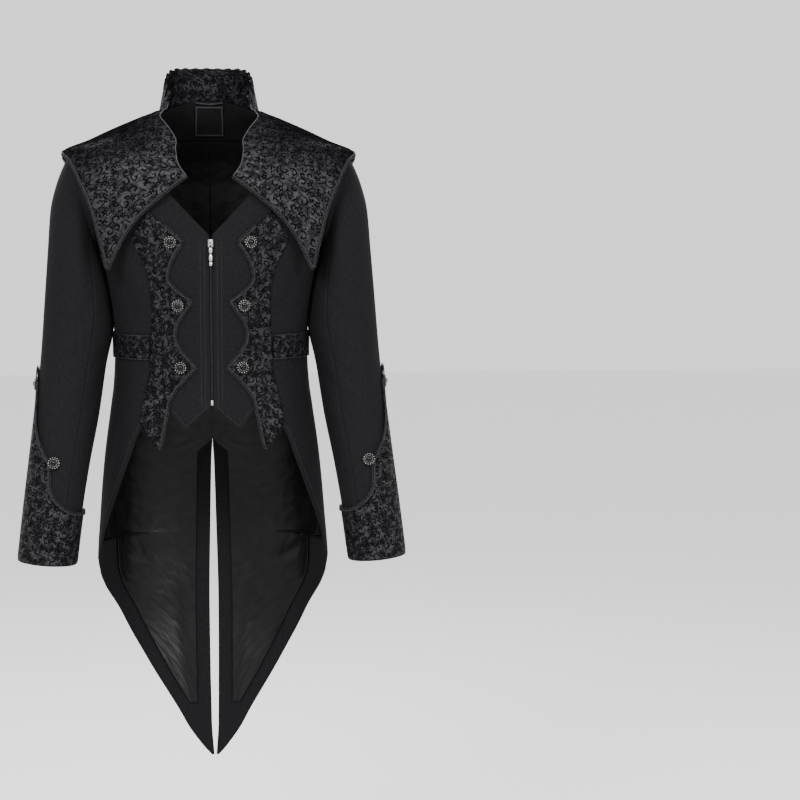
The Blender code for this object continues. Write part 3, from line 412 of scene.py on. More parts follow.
MANTLE_CREASES = creased(
    right=(
        (-0.030, 20, -0.090, 42, -1.6, 17), (-0.070, 12, -0.150, 38, 1.5, 14),
        (-0.030, -32, -0.140, -38, -1.8, 18), (-0.060, -58, -0.110, -72, 1.5, 20),
        (-0.085, -14, -0.185, -24, 1.6, 14),
    ),
    left=(
        (-0.035, 22, -0.100, 40, -1.5, 16), (-0.075, 10, -0.165, 36, 1.4, 15),
        (-0.040, -36, -0.125, -45, -1.7, 17), (-0.050, -64, -0.112, -76, 1.3, 19),
        (-0.080, -12, -0.175, -20, 1.7, 13),
    ),
)
SLEEVE_CREASES = creased(
    right=(
        (0.9, 48, 5.6, 62, -2.4, 12), (1.4, 84, 5.2, 96, 2.0, 10),
        (2.6, 20, 6.8, 24, 1.7, 13), (5.2, 120, 6.6, 70, -2.2, 9),
        (5.9, 150, 7.2, 86, 2.0, 9), (6.7, 165, 8.1, 104, -2.0, 10),
        (7.0, 30, 9.0, 64, -1.5, 13), (1.0, -52, 4.8, -60, -2.2, 13),
        (2.2, -96, 5.4, -84, 1.9, 11), (5.4, -120, 6.9, -50, -1.9, 11),
        (6.6, -130, 8.0, -76, 1.8, 10), (9.2, 120, 10.6, 128, 1.2, 9),
    ),
    left=(
        (1.0, 44, 5.0, 58, -2.2, 13), (1.6, 80, 5.8, 92, 2.2, 11),
        (3.0, 16, 7.2, 28, 1.5, 12), (5.0, 126, 6.8, 76, -2.0, 10),
        (6.1, 154, 7.4, 92, 1.8, 9), (7.0, 168, 8.3, 110, -1.8, 9),
        (7.4, 34, 9.4, 58, -1.6, 12), (0.9, -48, 5.2, -56, -2.4, 12),
        (2.6, -92, 5.8, -80, 1.7, 12), (5.6, -124, 7.2, -58, -2.0, 10),
        (6.9, -126, 8.3, -70, 1.7, 11), (9.4, 118, 10.7, 126, 1.1, 8),
    ),
)
LINING_CREASES = creased(
    right=(
        (-0.500, -12, -0.512, -40, -1.8, 7), (-0.548, -10, -0.590, -34, -2.4, 9),
        (-0.628, -9, -0.700, -22, -3.0, 8), (-0.680, -12, -0.752, -30, -2.6, 7),
        (-0.700, -40, -0.732, -58, -1.9, 8), (-0.760, -24, -0.828, -44, -2.2, 7),
        (-0.820, -52, -0.880, -62, -1.6, 7),
    ),
    left=(
        (-0.495, -14, -0.520, -44, -2.0, 8), (-0.560, -9, -0.582, -30, -2.1, 8),
        (-0.618, -10, -0.682, -20, -3.0, 8), (-0.668, -11, -0.748, -28, -2.8, 7),
        (-0.712, -44, -0.728, -60, -2.0, 7), (-0.752, -22, -0.836, -46, -2.3, 8),
        (-0.850, -50, -0.895, -66, -1.5, 6),
    ),
)

BODY = Form(
    Table(
        (0.072, 0.0560, 0.050, 0.0480, 0.000, 2.1),
        (0.056, 0.0615, 0.053, 0.0500, 0.000, 2.1),
        (0.036, 0.0700, 0.058, 0.0530, 0.000, 2.1),
        (0.018, 0.0740, 0.063, 0.0570, 0.000, 2.1),
        (0.000, 0.0780, 0.069, 0.0650, 0.000, 2.1),
        (-0.012, 0.0930, 0.074, 0.0710, 0.000, 2.15),
        (-0.030, 0.1290, 0.082, 0.0830, 0.000, 2.2),
        (-0.0460, 0.1700, 0.091, 0.0930, 0.000, 2.25),
        (-0.0600, 0.2005, 0.097, 0.0990, 0.000, 2.35),
        (-0.078, 0.2100, 0.103, 0.1060, 0.000, 2.5),
        (-0.120, 0.2090, 0.112, 0.1140, 0.000, 2.6),
        (-0.180, 0.1910, 0.117, 0.1160, 0.000, 2.6),
        (-0.2225, 0.1710, 0.118, 0.1130, 0.000, 2.6),
        (-0.285, 0.1575, 0.113, 0.1040, 0.000, 2.5),
        (-0.330, 0.1525, 0.107, 0.0960, 0.000, 2.4),
        (-0.375, 0.1514, 0.102, 0.0920, 0.000, 2.4),
        (-0.4256, 0.1540, 0.105, 0.1020, 0.000, 2.3),
        (-0.4576, 0.1580, 0.108, 0.1080, -0.002, 2.3),
        (-0.535, 0.1675, 0.110, 0.1220, -0.010, 2.3),
        (-0.624, 0.1755, 0.105, 0.1380, -0.022, 2.3),
        (-0.700, 0.1810, 0.094, 0.1480, -0.036, 2.3),
        (-0.800, 0.1830, 0.085, 0.1380, -0.040, 2.3),
        (-0.900, 0.1820, 0.075, 0.1150, -0.040, 2.3),
        (-1.045, 0.1780, 0.065, 0.0780, -0.038, 2.3),
    ),
    BODY_CREASES,
)
LINED = Form(BODY.rings, BODY_CREASES + LINING_CREASES)
MANTLE = Form(
    Table(
        (0.036, 0.0730, 0.062, 0.0560, 0.000, 2.1),
        (0.018, 0.0762, 0.066, 0.0592, 0.000, 2.1),
        (0.000, 0.0825, 0.074, 0.0702, 0.000, 2.1),
        (-0.012, 0.1100, 0.084, 0.0830, 0.000, 2.15),
        (-0.030, 0.1520, 0.097, 0.0985, 0.000, 2.25),
        (-0.0460, 0.1860, 0.103, 0.1040, 0.000, 2.35),
        (-0.0634, 0.2253, 0.110, 0.1130, 0.000, 2.45),
        (-0.100, 0.2370, 0.121, 0.1230, 0.000, 2.5),
        (-0.150, 0.2450, 0.1245, 0.1265, 0.000, 2.45),
        (-0.2136, 0.2560, 0.1250, 0.1270, 0.000, 2.35),
        (-0.260, 0.2560, 0.1250, 0.1270, 0.000, 2.35),
    ),
    MANTLE_CREASES,
)
ARM = SleeveForm(
    Table(
        (0, 0.2010, -0.0600, 0.1716, -0.2225, 0.000, 0.062),
        (1, 0.2140, -0.0665, 0.1718, -0.2285, 0.000, 0.062),
        (2, 0.2250, -0.0840, 0.1692, -0.2350, 0.000, 0.064),
        (3, 0.2375, -0.1150, 0.1660, -0.2435, 0.000, 0.067),
        (4, 0.2470, -0.1540, 0.1618, -0.2570, 0.001, 0.068),
        (5, 0.2520, -0.2150, 0.1555, -0.2860, 0.004, 0.067),
        (6, 0.2575, -0.2850, 0.1518, -0.3320, 0.010, 0.063),
        (7, 0.2640, -0.3700, 0.1640, -0.3950, 0.018, 0.058),
        (8, 0.2705, -0.4450, 0.1755, -0.4720, 0.035, 0.054),
        (9, 0.2790, -0.5250, 0.1900, -0.5480, 0.058, 0.050),
        (10, 0.2880, -0.6050, 0.2010, -0.6180, 0.081, 0.047),
        (11, 0.2965, -0.6860, 0.2105, -0.6940, 0.103, 0.046),
    ),
    BODY,
    SLEEVE_CREASES,
)

# Lines across the panels: level, then half distance from the centre
NECK_EDGE = Table(
    (0.000, 0.0775), (-0.012, 0.0745), (-0.030, 0.0715), (-0.060, 0.0670),
    (-0.126, 0.0665), (-0.160, 0.0342), (-0.193, 0.0026), (-0.500, 0.0026),
)
FRONT_SEAM = Table(
    (-0.012, 0.0880), (-0.030, 0.0930), (-0.130, 0.0960),
    (-0.250, 0.0850), (-0.350, 0.0740), (-0.458, 0.0660),
)
BACK_SEAM = Table(
    (-0.126, 0.1860), (-0.143, 0.1690), (-0.171, 0.1490), (-0.2137, 0.1255), (-0.270, 0.1120),
    (-0.3386, 0.1037), (-0.450, 0.1060), (-0.700, 0.1130), (-0.8336, 0.1160), (-0.8768, 0.1120),
)
CUT_AWAY = Table(
    (-0.458, 0.0660), (-0.4865, 0.1080), (-0.538, 0.1289), (-0.5943, 0.1497),
    (-0.6443, 0.1669), (-0.674, 0.1745), (-0.700, 0.1805),
)
TAIL_HEM = Table(
    (-0.700, 0.1805), (-0.725, 0.1795), (-0.750, 0.1740), (-0.7984, 0.1515),
    (-0.8336, 0.1355), (-0.8768, 0.1130), (-0.9072, 0.0960), (-0.9344, 0.0795),
    (-0.9728, 0.0560), (-0.9968, 0.0425), (-1.0176, 0.0275), (-1.0310, 0.0165),
    (-1.0432, 0.0048),
)
VENT = Table(
    (-0.440, 0.0003), (-0.530, 0.0009), (-0.560, 0.0026), (-0.600, 0.0038), (-0.650, 0.0050),
    (-0.800, 0.0078), (-0.990, 0.0060), (-1.0432, 0.0024),
)
TOP = -0.0125
WAIST_CORNER = -0.4580
TAIL_CORNER = -0.7000
TAIL_TIP = -1.0432
VENT_TOP = -0.4400
BACK_SEAM_TOP = -0.1260
SIDE_BACK_TOP = -0.1430
TAIL_TURN = -0.8780
SIDE_BACK_TIP = -0.8768
COLLAR_SEAM_BACK = 0.0190
SHOULDER_ANGLE = 0.05


def neck_edge(z: Array) -> Array:
    """The V neck's edge, straight below the lapel: half distance from the centre."""
    return np.interp(z, NECK_EDGE.keys, NECK_EDGE.values[:, 0])


def neck_level(angle: Array) -> Array:
    """The height of the neck seam, which rises towards the back."""
    angle = np.asarray(angle, float)
    return np.where(angle > 0, 0.0, COLLAR_SEAM_BACK * np.sin(np.radians(angle)) ** 2)


def linear(code: str) -> tuple[float, float, float, float]:
    """Linear colour from an sRGB hex code.

    Args:
        code: six hex digits, such as 1b1b1d.

    Returns:
        Red, green, blue and alpha.
    """
    channels = []
    for i in (0, 2, 4):
        value = int(code[i:i + 2], 16) / 255
        channels.append(value / 12.92 if value <= 0.04045 else ((value + 0.055) / 1.055) ** 2.4)
    return (*channels, 1.0)


def feed(tree: Tree, node: bpy.types.Node, links: dict) -> None:
    """Links or sets a node's inputs.

    Args:
        tree: the material's node tree.
        node: the node.
        links: by input name or number, the output socket that feeds it or its value.
    """
    for name, value in links.items():
        if isinstance(value, Socket):
            tree.links.new(value, node.inputs[name])
        else:
            node.inputs[name].default_value = value


def add(tree: Tree, kind: str, links: dict, **settings: object) -> bpy.types.Node:
    """Adds a node with its settings and links.

    Args:
        tree: the material's node tree.
        kind: the node's type name.
        links: by input name or number, the output socket that feeds it or its value.
        **settings: the node's own properties.

    Returns:
        The new node.
    """
    made = tree.nodes.new(kind)
    for name, value in settings.items():
        setattr(made, name, value)
    feed(tree, made, links)
    return made


def math_of(tree: Tree, operation: str, *values: object) -> Socket:
    """The result of one sum on sockets or numbers."""
    return add(tree, "ShaderNodeMath", dict(enumerate(values)), operation=operation).outputs[0]


def threshold(tree: Tree, value: Socket, low: float, high: float) -> Socket:
    """Zero below low, one above high, and soft between them."""
    inputs = {"Value": value, "From Min": low, "From Max": high}
    return add(tree, "ShaderNodeMapRange", inputs, interpolation_type="SMOOTHSTEP").outputs[0]


def mixed(tree: Tree, share: Socket, low: str, high: str) -> Socket:
    """A colour between two hex codes."""
    inputs = {0: share, 6: linear(low), 7: linear(high)}
    return add(tree, "ShaderNodeMix", inputs, data_type="RGBA").outputs[2]


def start_material(name: str) -> tuple[Material, Tree, bpy.types.Node]:
    """A new material with its node tree and its Principled shader."""
    made = bpy.data.materials.new(name)
    made.use_nodes = True
    return made, made.node_tree, made.node_tree.nodes["Principled BSDF"]


def cloth_place(tree: Tree, size: float) -> Socket:
    """Places on the cut cloth, counted in motifs or threads of a size in metres."""
    place = add(tree, "ShaderNodeUVMap", {}, uv_map="cloth").outputs[0]
    scaled = {0: place, "Scale": 1.0 / size}
    return add(tree, "ShaderNodeVectorMath", scaled, operation="SCALE").outputs[0]


def cloth_noise(tree: Tree, size: float, detail: float, distortion: float = 0.0) -> Socket:
    """Soft noise on the cut cloth, with five swells to its size in metres."""
    inputs = {"Vector": cloth_place(tree, size), "Detail": detail, "Distortion": distortion}
    return add(tree, "ShaderNodeTexNoise", inputs).outputs[0]


def solid_noise(tree: Tree, size: float, detail: float) -> Socket:
    """Soft noise through a small part, with a swell to its size in metres."""
    place = add(tree, "ShaderNodeTexCoord", {}).outputs["Object"]
    inputs = {"Vector": place, "Scale": 1.0 / size, "Detail": detail}
    return add(tree, "ShaderNodeTexNoise", inputs).outputs[0]


def ranged(tree: Tree, share: Socket, low: float, high: float) -> Socket:
    """The value at a share of the way from low to high."""
    inputs = {"Value": share, "To Min": low, "To Max": high}
    return add(tree, "ShaderNodeMapRange", inputs).outputs[0]


def bumped(tree: Tree, height: Socket, distance: float, strength: float = 1.0) -> Socket:
    """The surface's normal under a relief that is a distance in metres high."""
    inputs = {"Height": height, "Distance": distance, "Strength": strength}
    return add(tree, "ShaderNodeBump", inputs).outputs[0]


def across_and_down(tree: Tree, place: Socket) -> tuple[Socket, Socket]:
    """The two parts of a place on the cloth."""
    parts = add(tree, "ShaderNodeSeparateXYZ", {0: place})
    return parts.outputs[0], parts.outputs[1]


@dataclass(frozen=True)
class WorstedTwill:
    """Polyester and wool twill, woven and pressed: matt charcoal black with fine diagonal lines.

    The real lines are 0.5 mm apart; they are drawn 1.1 mm apart, so that they show.
    """

    name: str = "worsted_twill_woven"
    valley: str = "070708"
    ridge: str = "131315"
    roughness: float = 0.82
    line: float = 1.1 * MM
    cloud: float = 24 * MM
    slub: float = 2.2 * MM
    relief: float = 0.12 * MM
    gloss: float = 0.07
    sheen: float = 0.02
    sheen_tint: str = "9a9aa0"

    def make(self) -> Material:
        """Makes the finish.

        Returns:
            The material.
        """
        made, tree, shader = start_material(self.name)
        across, down = across_and_down(tree, cloth_place(tree, self.line))
        phase = math_of(tree, "MULTIPLY", math_of(tree, "ADD", across, down), 2 * math.pi)
        lines = math_of(tree, "MULTIPLY_ADD", math_of(tree, "SINE", phase), 0.5, 0.5)
        clouds = cloth_noise(tree, self.cloud, 3.0)
        slubs = cloth_noise(tree, self.slub, 4.0)
        weave = math_of(tree, "MULTIPLY_ADD", slubs, 0.75, math_of(tree, "MULTIPLY", lines, 0.35))
        tone = math_of(tree, "ADD", math_of(tree, "MULTIPLY", weave, 0.75), clouds)
        feed(tree, shader, {
            "Base Color": mixed(tree, threshold(tree, tone, 0.45, 1.25), self.valley, self.ridge),
            "Normal": bumped(tree, weave, self.relief, 0.9),
            "Roughness": self.roughness,
            "Specular IOR Level": self.gloss,
            "Sheen Weight": self.sheen,
            "Sheen Roughness": 0.45,
            "Sheen Tint": linear(self.sheen_tint),
        })
        return made


@dataclass(frozen=True)
class JacquardBrocade:
    """Viscose brocade, jacquard woven: a satin ground that catches the light under matt
    black scrolls, leaves and small flowers, a motif about 14 mm across.

    The satin's floats are 0.25 mm wide; they are drawn 0.8 mm wide, so that they show.
    dull is the least share of a painted sheen, which lightens the ground's colour in broad
    soft patches and darkens it between them, where the satin's sheen changes under the
    lamps. Where full_from is beyond dull_until, this painted sheen also grows with the fall
    below the neck from one to the other, both in metres on the cloth, and stays near full
    close to the middle: painted shade high on the shoulders.
    """

    name: str = "jacquard_brocade_woven"
    figure: str = "050506"
    ground: str = "222225"
    motif: float = 14 * MM
    float_width: float = 0.8 * MM
    grain: float = 1.5 * MM
    relief: float = 0.35 * MM
    figure_roughness: float = 0.72
    ground_roughness: float = 0.46
    flower_share: float = 0.42
    figure_gloss: float = 0.02
    ground_gloss: float = 0.22
    dull: float = 0.36
    dull_until: float = 0.0
    full_from: float = 0.0

    def swirls(self, tree: Tree, size: float, turns: float, seed: float) -> Socket:
        """One layer of scrolls with flowers among them, drawn about scattered centres.

        Args:
            tree: the material's node tree.
            size: distance between centres, in metres.
            turns: how tightly a scroll winds.
            seed: a shift that keeps two layers apart.

        Returns:
            One on the figure and zero on the ground.
        """
        place = cloth_place(tree, size)
        wander = add(tree, "ShaderNodeTexNoise", {"Vector": place, "Scale": 1.4}).outputs[1]
        bend = add(
            tree, "ShaderNodeVectorMath", {0: wander, 1: (0.55,) * 3, 2: (seed, seed * 1.7, 0.0)},
            operation="MULTIPLY_ADD",
        ).outputs[0]
        place = add(
            tree, "ShaderNodeVectorMath", {0: place, 1: bend}, operation="ADD"
        ).outputs[0]
        cell = add(
            tree, "ShaderNodeTexVoronoi", {"Vector": place, "Scale": 1.0, "Randomness": 0.62},
            voronoi_dimensions="2D",
        )
        local = add(
            tree, "ShaderNodeVectorMath", {0: place, 1: cell.outputs["Position"]},
            operation="SUBTRACT",
        ).outputs[0]
        x, y = across_and_down(tree, local)
        reach = cell.outputs["Distance"]
        turn = math_of(tree, "ARCTAN2", y, x)
        dice = add(tree, "ShaderNodeSeparateColor", {0: cell.outputs["Color"]})
        hand = math_of(tree, "SUBTRACT", math_of(tree, "ROUND", dice.outputs[1]), 0.5)
        start = math_of(tree, "MULTIPLY", dice.outputs[2], 2 * math.pi)
        wound = math_of(tree, "MULTIPLY", math_of(tree, "MULTIPLY", reach, turns), hand)
        spiral = math_of(tree, "SINE", math_of(tree, "ADD", math_of(tree, "ADD", wound, turn), start))
        width = math_of(tree, "MULTIPLY_ADD", reach, 1.0, 0.22)
        scroll = threshold(tree, math_of(tree, "SUBTRACT", spiral, width), -0.16, 0.16)
        petals = math_of(tree, "COSINE", math_of(tree, "MULTIPLY_ADD", turn, 5.0, start))
        rim = math_of(tree, "MULTIPLY_ADD", petals, 0.10, 0.30)
        inside = threshold(tree, math_of(tree, "SUBTRACT", rim, reach), -0.02, 0.03)
        eye = threshold(tree, reach, 0.07, 0.10)
        leaves = math_of(tree, "SINE", math_of(tree, "MULTIPLY_ADD", turn, 3.0, wound))
        outer = threshold(tree, math_of(tree, "SUBTRACT", leaves, 0.60), -0.14, 0.14)
        outer = math_of(tree, "MULTIPLY", outer, threshold(tree, reach, 0.38, 0.44))
        flower = math_of(tree, "MAXIMUM", math_of(tree, "MULTIPLY", inside, eye), outer)
        kind = math_of(tree, "LESS_THAN", dice.outputs[0], self.flower_share)
        picked = add(tree, "ShaderNodeMix", {0: kind, 2: scroll, 3: flower})
        return picked.outputs[0]

    def make(self) -> Material:
        """Makes the finish.

        Returns:
            The material.
        """
        made, tree, shader = start_material(self.name)
        large = self.swirls(tree, self.motif, 21.0, 3.1)
        small = self.swirls(tree, self.motif * 0.40, 12.0, 9.7)
        fields = cloth_noise(tree, self.motif * 2.2, 2.0)
        busy = math_of(tree, "MULTIPLY", threshold(tree, fields, 0.38, 0.60), 0.75)
        figure = math_of(tree, "MAXIMUM", large, math_of(tree, "MULTIPLY", small, busy))
        across, _ = across_and_down(tree, cloth_place(tree, self.float_width))
        floats = math_of(tree, "SINE", math_of(tree, "MULTIPLY", across, 2 * math.pi))
        grain = cloth_noise(tree, self.grain, 3.0)
        ground = math_of(tree, "SUBTRACT", 1.0, figure)
        shade = math_of(tree, "MULTIPLY", ground, math_of(tree, "MULTIPLY_ADD", grain, 0.9, 0.5))
        # painted sheen: broad soft patches that lighten and darken the ground's colour and gloss,
        # standing in for the satin's sheen under the lamps
        painted_sheen_patches = cloth_noise(tree, self.motif * 4.5, 2.0)
        painted_sheen = ranged(tree, threshold(tree, painted_sheen_patches, 0.38, 0.62), self.dull, 1.0)
        sheen = 1.0
        # painted shade and sheen by place: the ground's colour is darker high up away from the
        # middle, lighter lower down and near the middle
        if self.full_from > self.dull_until:
            aside, fall = across_and_down(tree, cloth_place(tree, 1.0))
            aside = math_of(tree, "ABSOLUTE", aside)
            middle = math_of(tree, "SUBTRACT", 0.9, threshold(tree, aside, 0.07, 0.13))
            sheen = threshold(tree, fall, self.dull_until, self.full_from)
            hung = math_of(tree, "MAXIMUM", sheen, middle)
            hung = math_of(tree, "MULTIPLY_ADD", hung, 1.0 - self.dull, self.dull)
            painted_sheen = math_of(tree, "MULTIPLY", painted_sheen, hung)
        shade = math_of(tree, "MULTIPLY", shade, painted_sheen)
        height = math_of(tree, "MULTIPLY_ADD", floats, 0.08, figure)
        height = math_of(tree, "MULTIPLY_ADD", grain, 0.35, height)
        gloss = ranged(tree, shade, self.figure_gloss, self.ground_gloss)
        feed(tree, shader, {
            "Base Color": mixed(tree, shade, self.figure, self.ground),
            "Roughness": ranged(tree, figure, self.ground_roughness, self.figure_roughness),
            "Normal": bumped(tree, height, self.relief),
            "Specular IOR Level": math_of(tree, "MULTIPLY", gloss, sheen),
        })
        return made


@dataclass(frozen=True)
class LiningSatin:
    """Acetate satin, woven and calendered: near black, with soft long highlights."""

    name: str = "lining_satin_calendered"
    colour: str = "050506"
    # the colour painted on the crests of the ripples: a painted highlight
    light: str = "0a0a0b"
    roughness: float = 0.34
    gloss: float = 0.14
    ripple: float = 90 * MM
    relief: float = 1.4 * MM

    def make(self) -> Material:
        """Makes the finish.

        Returns:
            The material.
        """
        made, tree, shader = start_material(self.name)
        # the ripples give a soft relief and a painted highlight, a lighter colour on their crests
        ripple = cloth_noise(tree, self.ripple, 0.6, 0.3)
        feed(tree, shader, {
            "Base Color": mixed(tree, threshold(tree, ripple, 0.3, 0.7), self.colour, self.light),
            "Normal": bumped(tree, ripple, self.relief, 0.6),
            "Roughness": self.roughness,
            "Specular IOR Level": self.gloss,
        })
        return made


@dataclass(frozen=True)
class SpunBraid:
    """Rayon picot braid, crocheted: soft black loops with a dull shine on their crowns."""

    name: str = "rayon_braid_crocheted"
    low: str = "040405"
    high: str = "262629"
    ply: float = 1.6 * MM
    relief: float = 0.2 * MM
    roughness: float = 0.55
    gloss: float = 0.15

    def make(self) -> Material:
        """Makes the finish.

        Returns:
            The material.
        """
        made, tree, shader = start_material(self.name)
        ply = solid_noise(tree, self.ply, 2.0)
        feed(tree, shader, {
            "Base Color": mixed(tree, threshold(tree, ply, 0.42, 0.58), self.low, self.high),
            "Normal": bumped(tree, ply, self.relief),
            "Roughness": self.roughness,
            "Specular IOR Level": self.gloss,
        })
        return made


@dataclass(frozen=True)
class CastMetal:
    """Zinc alloy, cast and plated in antique silver: bright crowns over darkened hollows.

    The share of dark oxide on each piece is kept on its mesh as the attribute tarnish.
    """

    name: str = "antique_silver_plated"
    bright: str = "b2b2b0"
    dark: str = "101012"
    roughness: float = 0.30
    oxide_rough: float = 0.25
    cast_grain: float = 0.7 * MM
    relief: float = 0.12 * MM

    def make(self) -> Material:
        """Makes the finish.

        Returns:
            The material.
        """
        made, tree, shader = start_material(self.name)
        grain = solid_noise(tree, self.cast_grain, 3.0)
        oxide = add(tree, "ShaderNodeAttribute", {}, attribute_name="tarnish").outputs["Fac"]
        spots = math_of(tree, "MULTIPLY_ADD", grain, 0.5, math_of(tree, "SUBTRACT", oxide, 0.25))
        share = threshold(tree, spots, 0.05, 0.85)
        feed(tree, shader, {
            "Base Color": mixed(tree, share, self.bright, self.dark),
            "Roughness": ranged(tree, share, self.roughness, self.roughness + self.oxide_rough),
            "Normal": bumped(tree, grain, self.relief),
            "Metallic": 1.0,
        })
        return made


@dataclass(frozen=True)
class GlossResin:
    """Polyester resin cabochon, cast and polished: glossy black."""

    name: str = "resin_cabochon_polished"
    colour: str = "050506"
    roughness: float = 0.10
    gloss: float = 0.16
    flow: float = 2.5 * MM

    def make(self) -> Material:
        """Makes the finish.

        Returns:
            The material.
        """
        made, tree, shader = start_material(self.name)
        flow = solid_noise(tree, self.flow, 1.0)
        feed(tree, shader, {
            "Base Color": linear(self.colour),
            "Roughness": ranged(tree, flow, self.roughness, self.roughness + 0.08),
            "IOR": 1.54,
            "Specular IOR Level": self.gloss,
        })
        return made


@dataclass(frozen=True)
class WovenLabel:
    """Damask label tape, woven and cut: satin black with a narrow lighter border."""

    name: str = "label_damask_woven"
    field_colour: str = "0a0a0b"
    border: str = "333336"
    rib: float = 0.9 * MM
    relief: float = 0.06 * MM

    def make(self) -> Material:
        """Makes the finish.

        Returns:
            The material.
        """
        made, tree, shader = start_material(self.name)
        share = add(tree, "ShaderNodeAttribute", {}, attribute_name="border").outputs["Fac"]
        _, down = across_and_down(tree, cloth_place(tree, self.rib))
        rib = math_of(tree, "SINE", math_of(tree, "MULTIPLY", down, 2 * math.pi))
        feed(tree, shader, {
            "Base Color": mixed(tree, share, self.field_colour, self.border),
            "Normal": bumped(tree, rib, self.relief),
            "Roughness": 0.60,
            "Specular IOR Level": 0.10,
        })
        return made


class Wardrobe:
    """The finishes, each made once and shared by its pieces."""

    def __init__(self) -> None:
        """Makes every finish."""
        self.twill = WorstedTwill().make()
        # The lapels and cape are painted darker high on the shoulders; the trim's painted sheen
        # patches reach down to a fifth of full.
        self.brocade = JacquardBrocade(dull_until=0.10, full_from=0.23).make()
        self.trim_brocade = JacquardBrocade(
            "jacquard_brocade_pressed", ground="1f1f22", motif=12 * MM, flower_share=0.50,
            ground_gloss=0.18, dull=0.20,
        ).make()
        self.satin = LiningSatin().make()
        self.braid = SpunBraid().make()
        self.thread = SpunBraid("polyester_thread_twisted", "1c1c1e", "37373b", 0.4 * MM).make()
        self.piping = SpunBraid("satin_piping_corded", "222224", "3c3c40", 1.2 * MM).make()
        self.silver = CastMetal().make()
        self.gunmetal = CastMetal("zinc_alloy_gunmetal_plated", "606064", "101013", 0.38).make()
        self.label = WovenLabel().make()
        self.resin = GlossResin().make()


WALLS = {
    "twill": TWILL_WALL, "brocade": BROCADE_WALL, "satin": LINING_WALL, "label": LINING_WALL,
}


def seat(obj: bpy.types.Object, body: str, nodes: tuple[str, ...]) -> bpy.types.Object:
    """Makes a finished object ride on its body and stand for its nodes.

    Args:
        obj: the finished object.
        body: the body that it moves with.
        nodes: the nodes of the solids that it replaces, or none.

    Returns:
        The same object.
    """
    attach(obj, body)
    if nodes:
        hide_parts(*nodes)
    log.info("%s: %d faces", obj.name, len(obj.data.polygons))
    return obj


@dataclass
class Cut:
    """A cut of cloth, given by the grid of points on its outer face.

    name is the node that it replaces. thin cloth has the linings' thickness.
    turned names the edges that sink into a seam or fold, out of first, last, top, bottom.
    places holds each point's place on the cloth, for a grid whose rows and columns slant.
    """

    name: str
    grid: Array
    outward: tuple[float, float, float]
    finish: Material
    slot: str
    thin: bool = False
    held: Held = Held.HUNG
    closed: bool = False
    turned: tuple[str, ...] = ("first", "last")
    sink: float = 0.8 * MM
    sink_reach: float = 2.0 * MM
    overlap: float = 0.15 * MM
    places: Array | None = None
    rests_on: tuple[str, ...] = ()

    def normals(self) -> Array:
        """Finds the grid's normals.

        Returns:
            A normal for each point, on the outward side.
        """
        across = np.gradient(self.grid, axis=1)
        down = np.gradient(self.grid, axis=0)
        found = unit(np.cross(across, down))
        middle = found[(found.shape[0] - 1) // 2, (found.shape[1] - 1) // 2]
        return found if middle @ np.array(self.outward) > 0 else -found

    def flat(self) -> tuple[float, float, float]:
        """Measures the cut laid flat.

        Returns:
            Its width, length and area.
        """
        width = float(lengths(self.grid, 1)[:, -1].max())
        length = float(lengths(self.grid, 0)[-1].max())
        a = self.grid[1:, 1:] - self.grid[:-1, :-1]
        b = self.grid[1:, :-1] - self.grid[:-1, 1:]
        area = float(np.linalg.norm(np.cross(a, b), axis=-1).sum() / 2)
        return width, length, min(area, width * length)

    def build(self) -> bpy.types.Object:
        """Makes the cloth, with its wall and its places on the cut.

        Returns:
            The cloth's object.
        """
        across = lengths(self.grid, 1)
        down = lengths(self.grid, 0)
        edges = {
            "first": across,
            "last": across[:, -1:] - across,
            "top": down,
            "bottom": down[-1:] - down,
        }
        grid = self.grid.copy()
        normals = self.normals()
        grid[:, 0] += unit(grid[:, 0] - grid[:, 1]) * self.overlap
        grid[:, -1] += unit(grid[:, -1] - grid[:, -2]) * self.overlap
        for edge in self.turned:
            depth = self.sink * np.exp(-((edges[edge] / self.sink_reach) ** 2))
            grid -= normals * depth[..., None]
        rows, columns = grid.shape[:2]
        order = np.arange(rows * columns).reshape(rows, columns)
        corners = order.copy()
        if self.closed:
            corners[:, -1] = corners[:, 0]
        quads = [
            part.ravel()
            for part in (order[:-1, :-1], order[1:, :-1], order[1:, 1:], order[:-1, 1:])
        ]
        loops = np.stack(quads, axis=1)
        middle = loops[(rows - 1) // 2 * (columns - 1) + (columns - 1) // 2]
        a, b, c, d = grid.reshape(-1, 3)[middle]
        if np.cross(c - a, d - b) @ np.array(self.outward) < 0:
            loops = loops[:, ::-1]
        flat_corners = corners.ravel()
        used = np.unique(flat_corners)
        renumber = np.zeros(rows * columns, int)
        renumber[used] = np.arange(len(used))
        mesh = bpy.data.meshes.new(self.name + "_cloth")
        mesh.from_pydata(
            grid.reshape(-1, 3)[used].tolist(), [], renumber[flat_corners[loops]].tolist()
        )
        spots = np.stack([across, down], axis=-1) if self.places is None else self.places
        spots = spots.reshape(-1, 2)
        layer = mesh.uv_layers.new(name="cloth")
        layer.data.foreach_set("uv", spots[loops.ravel()].astype(np.float32).ravel())
        mesh.materials.append(self.finish)
        mesh.shade_smooth()
        obj = bpy.data.objects.new(self.name + "_cloth", mesh)
        bpy.context.scene.collection.objects.link(obj)
        thick = obj.modifiers.new("wall", "SOLIDIFY")
        thick.thickness = LINING_WALL if self.thin else WALLS[self.slot]
        thick.offset = -1.0
        thick.use_even_offset = False
        obj.modifiers.new("flat edges", "WEIGHTED_NORMAL")
        seat(obj, COAT, (self.name,))
        return obj


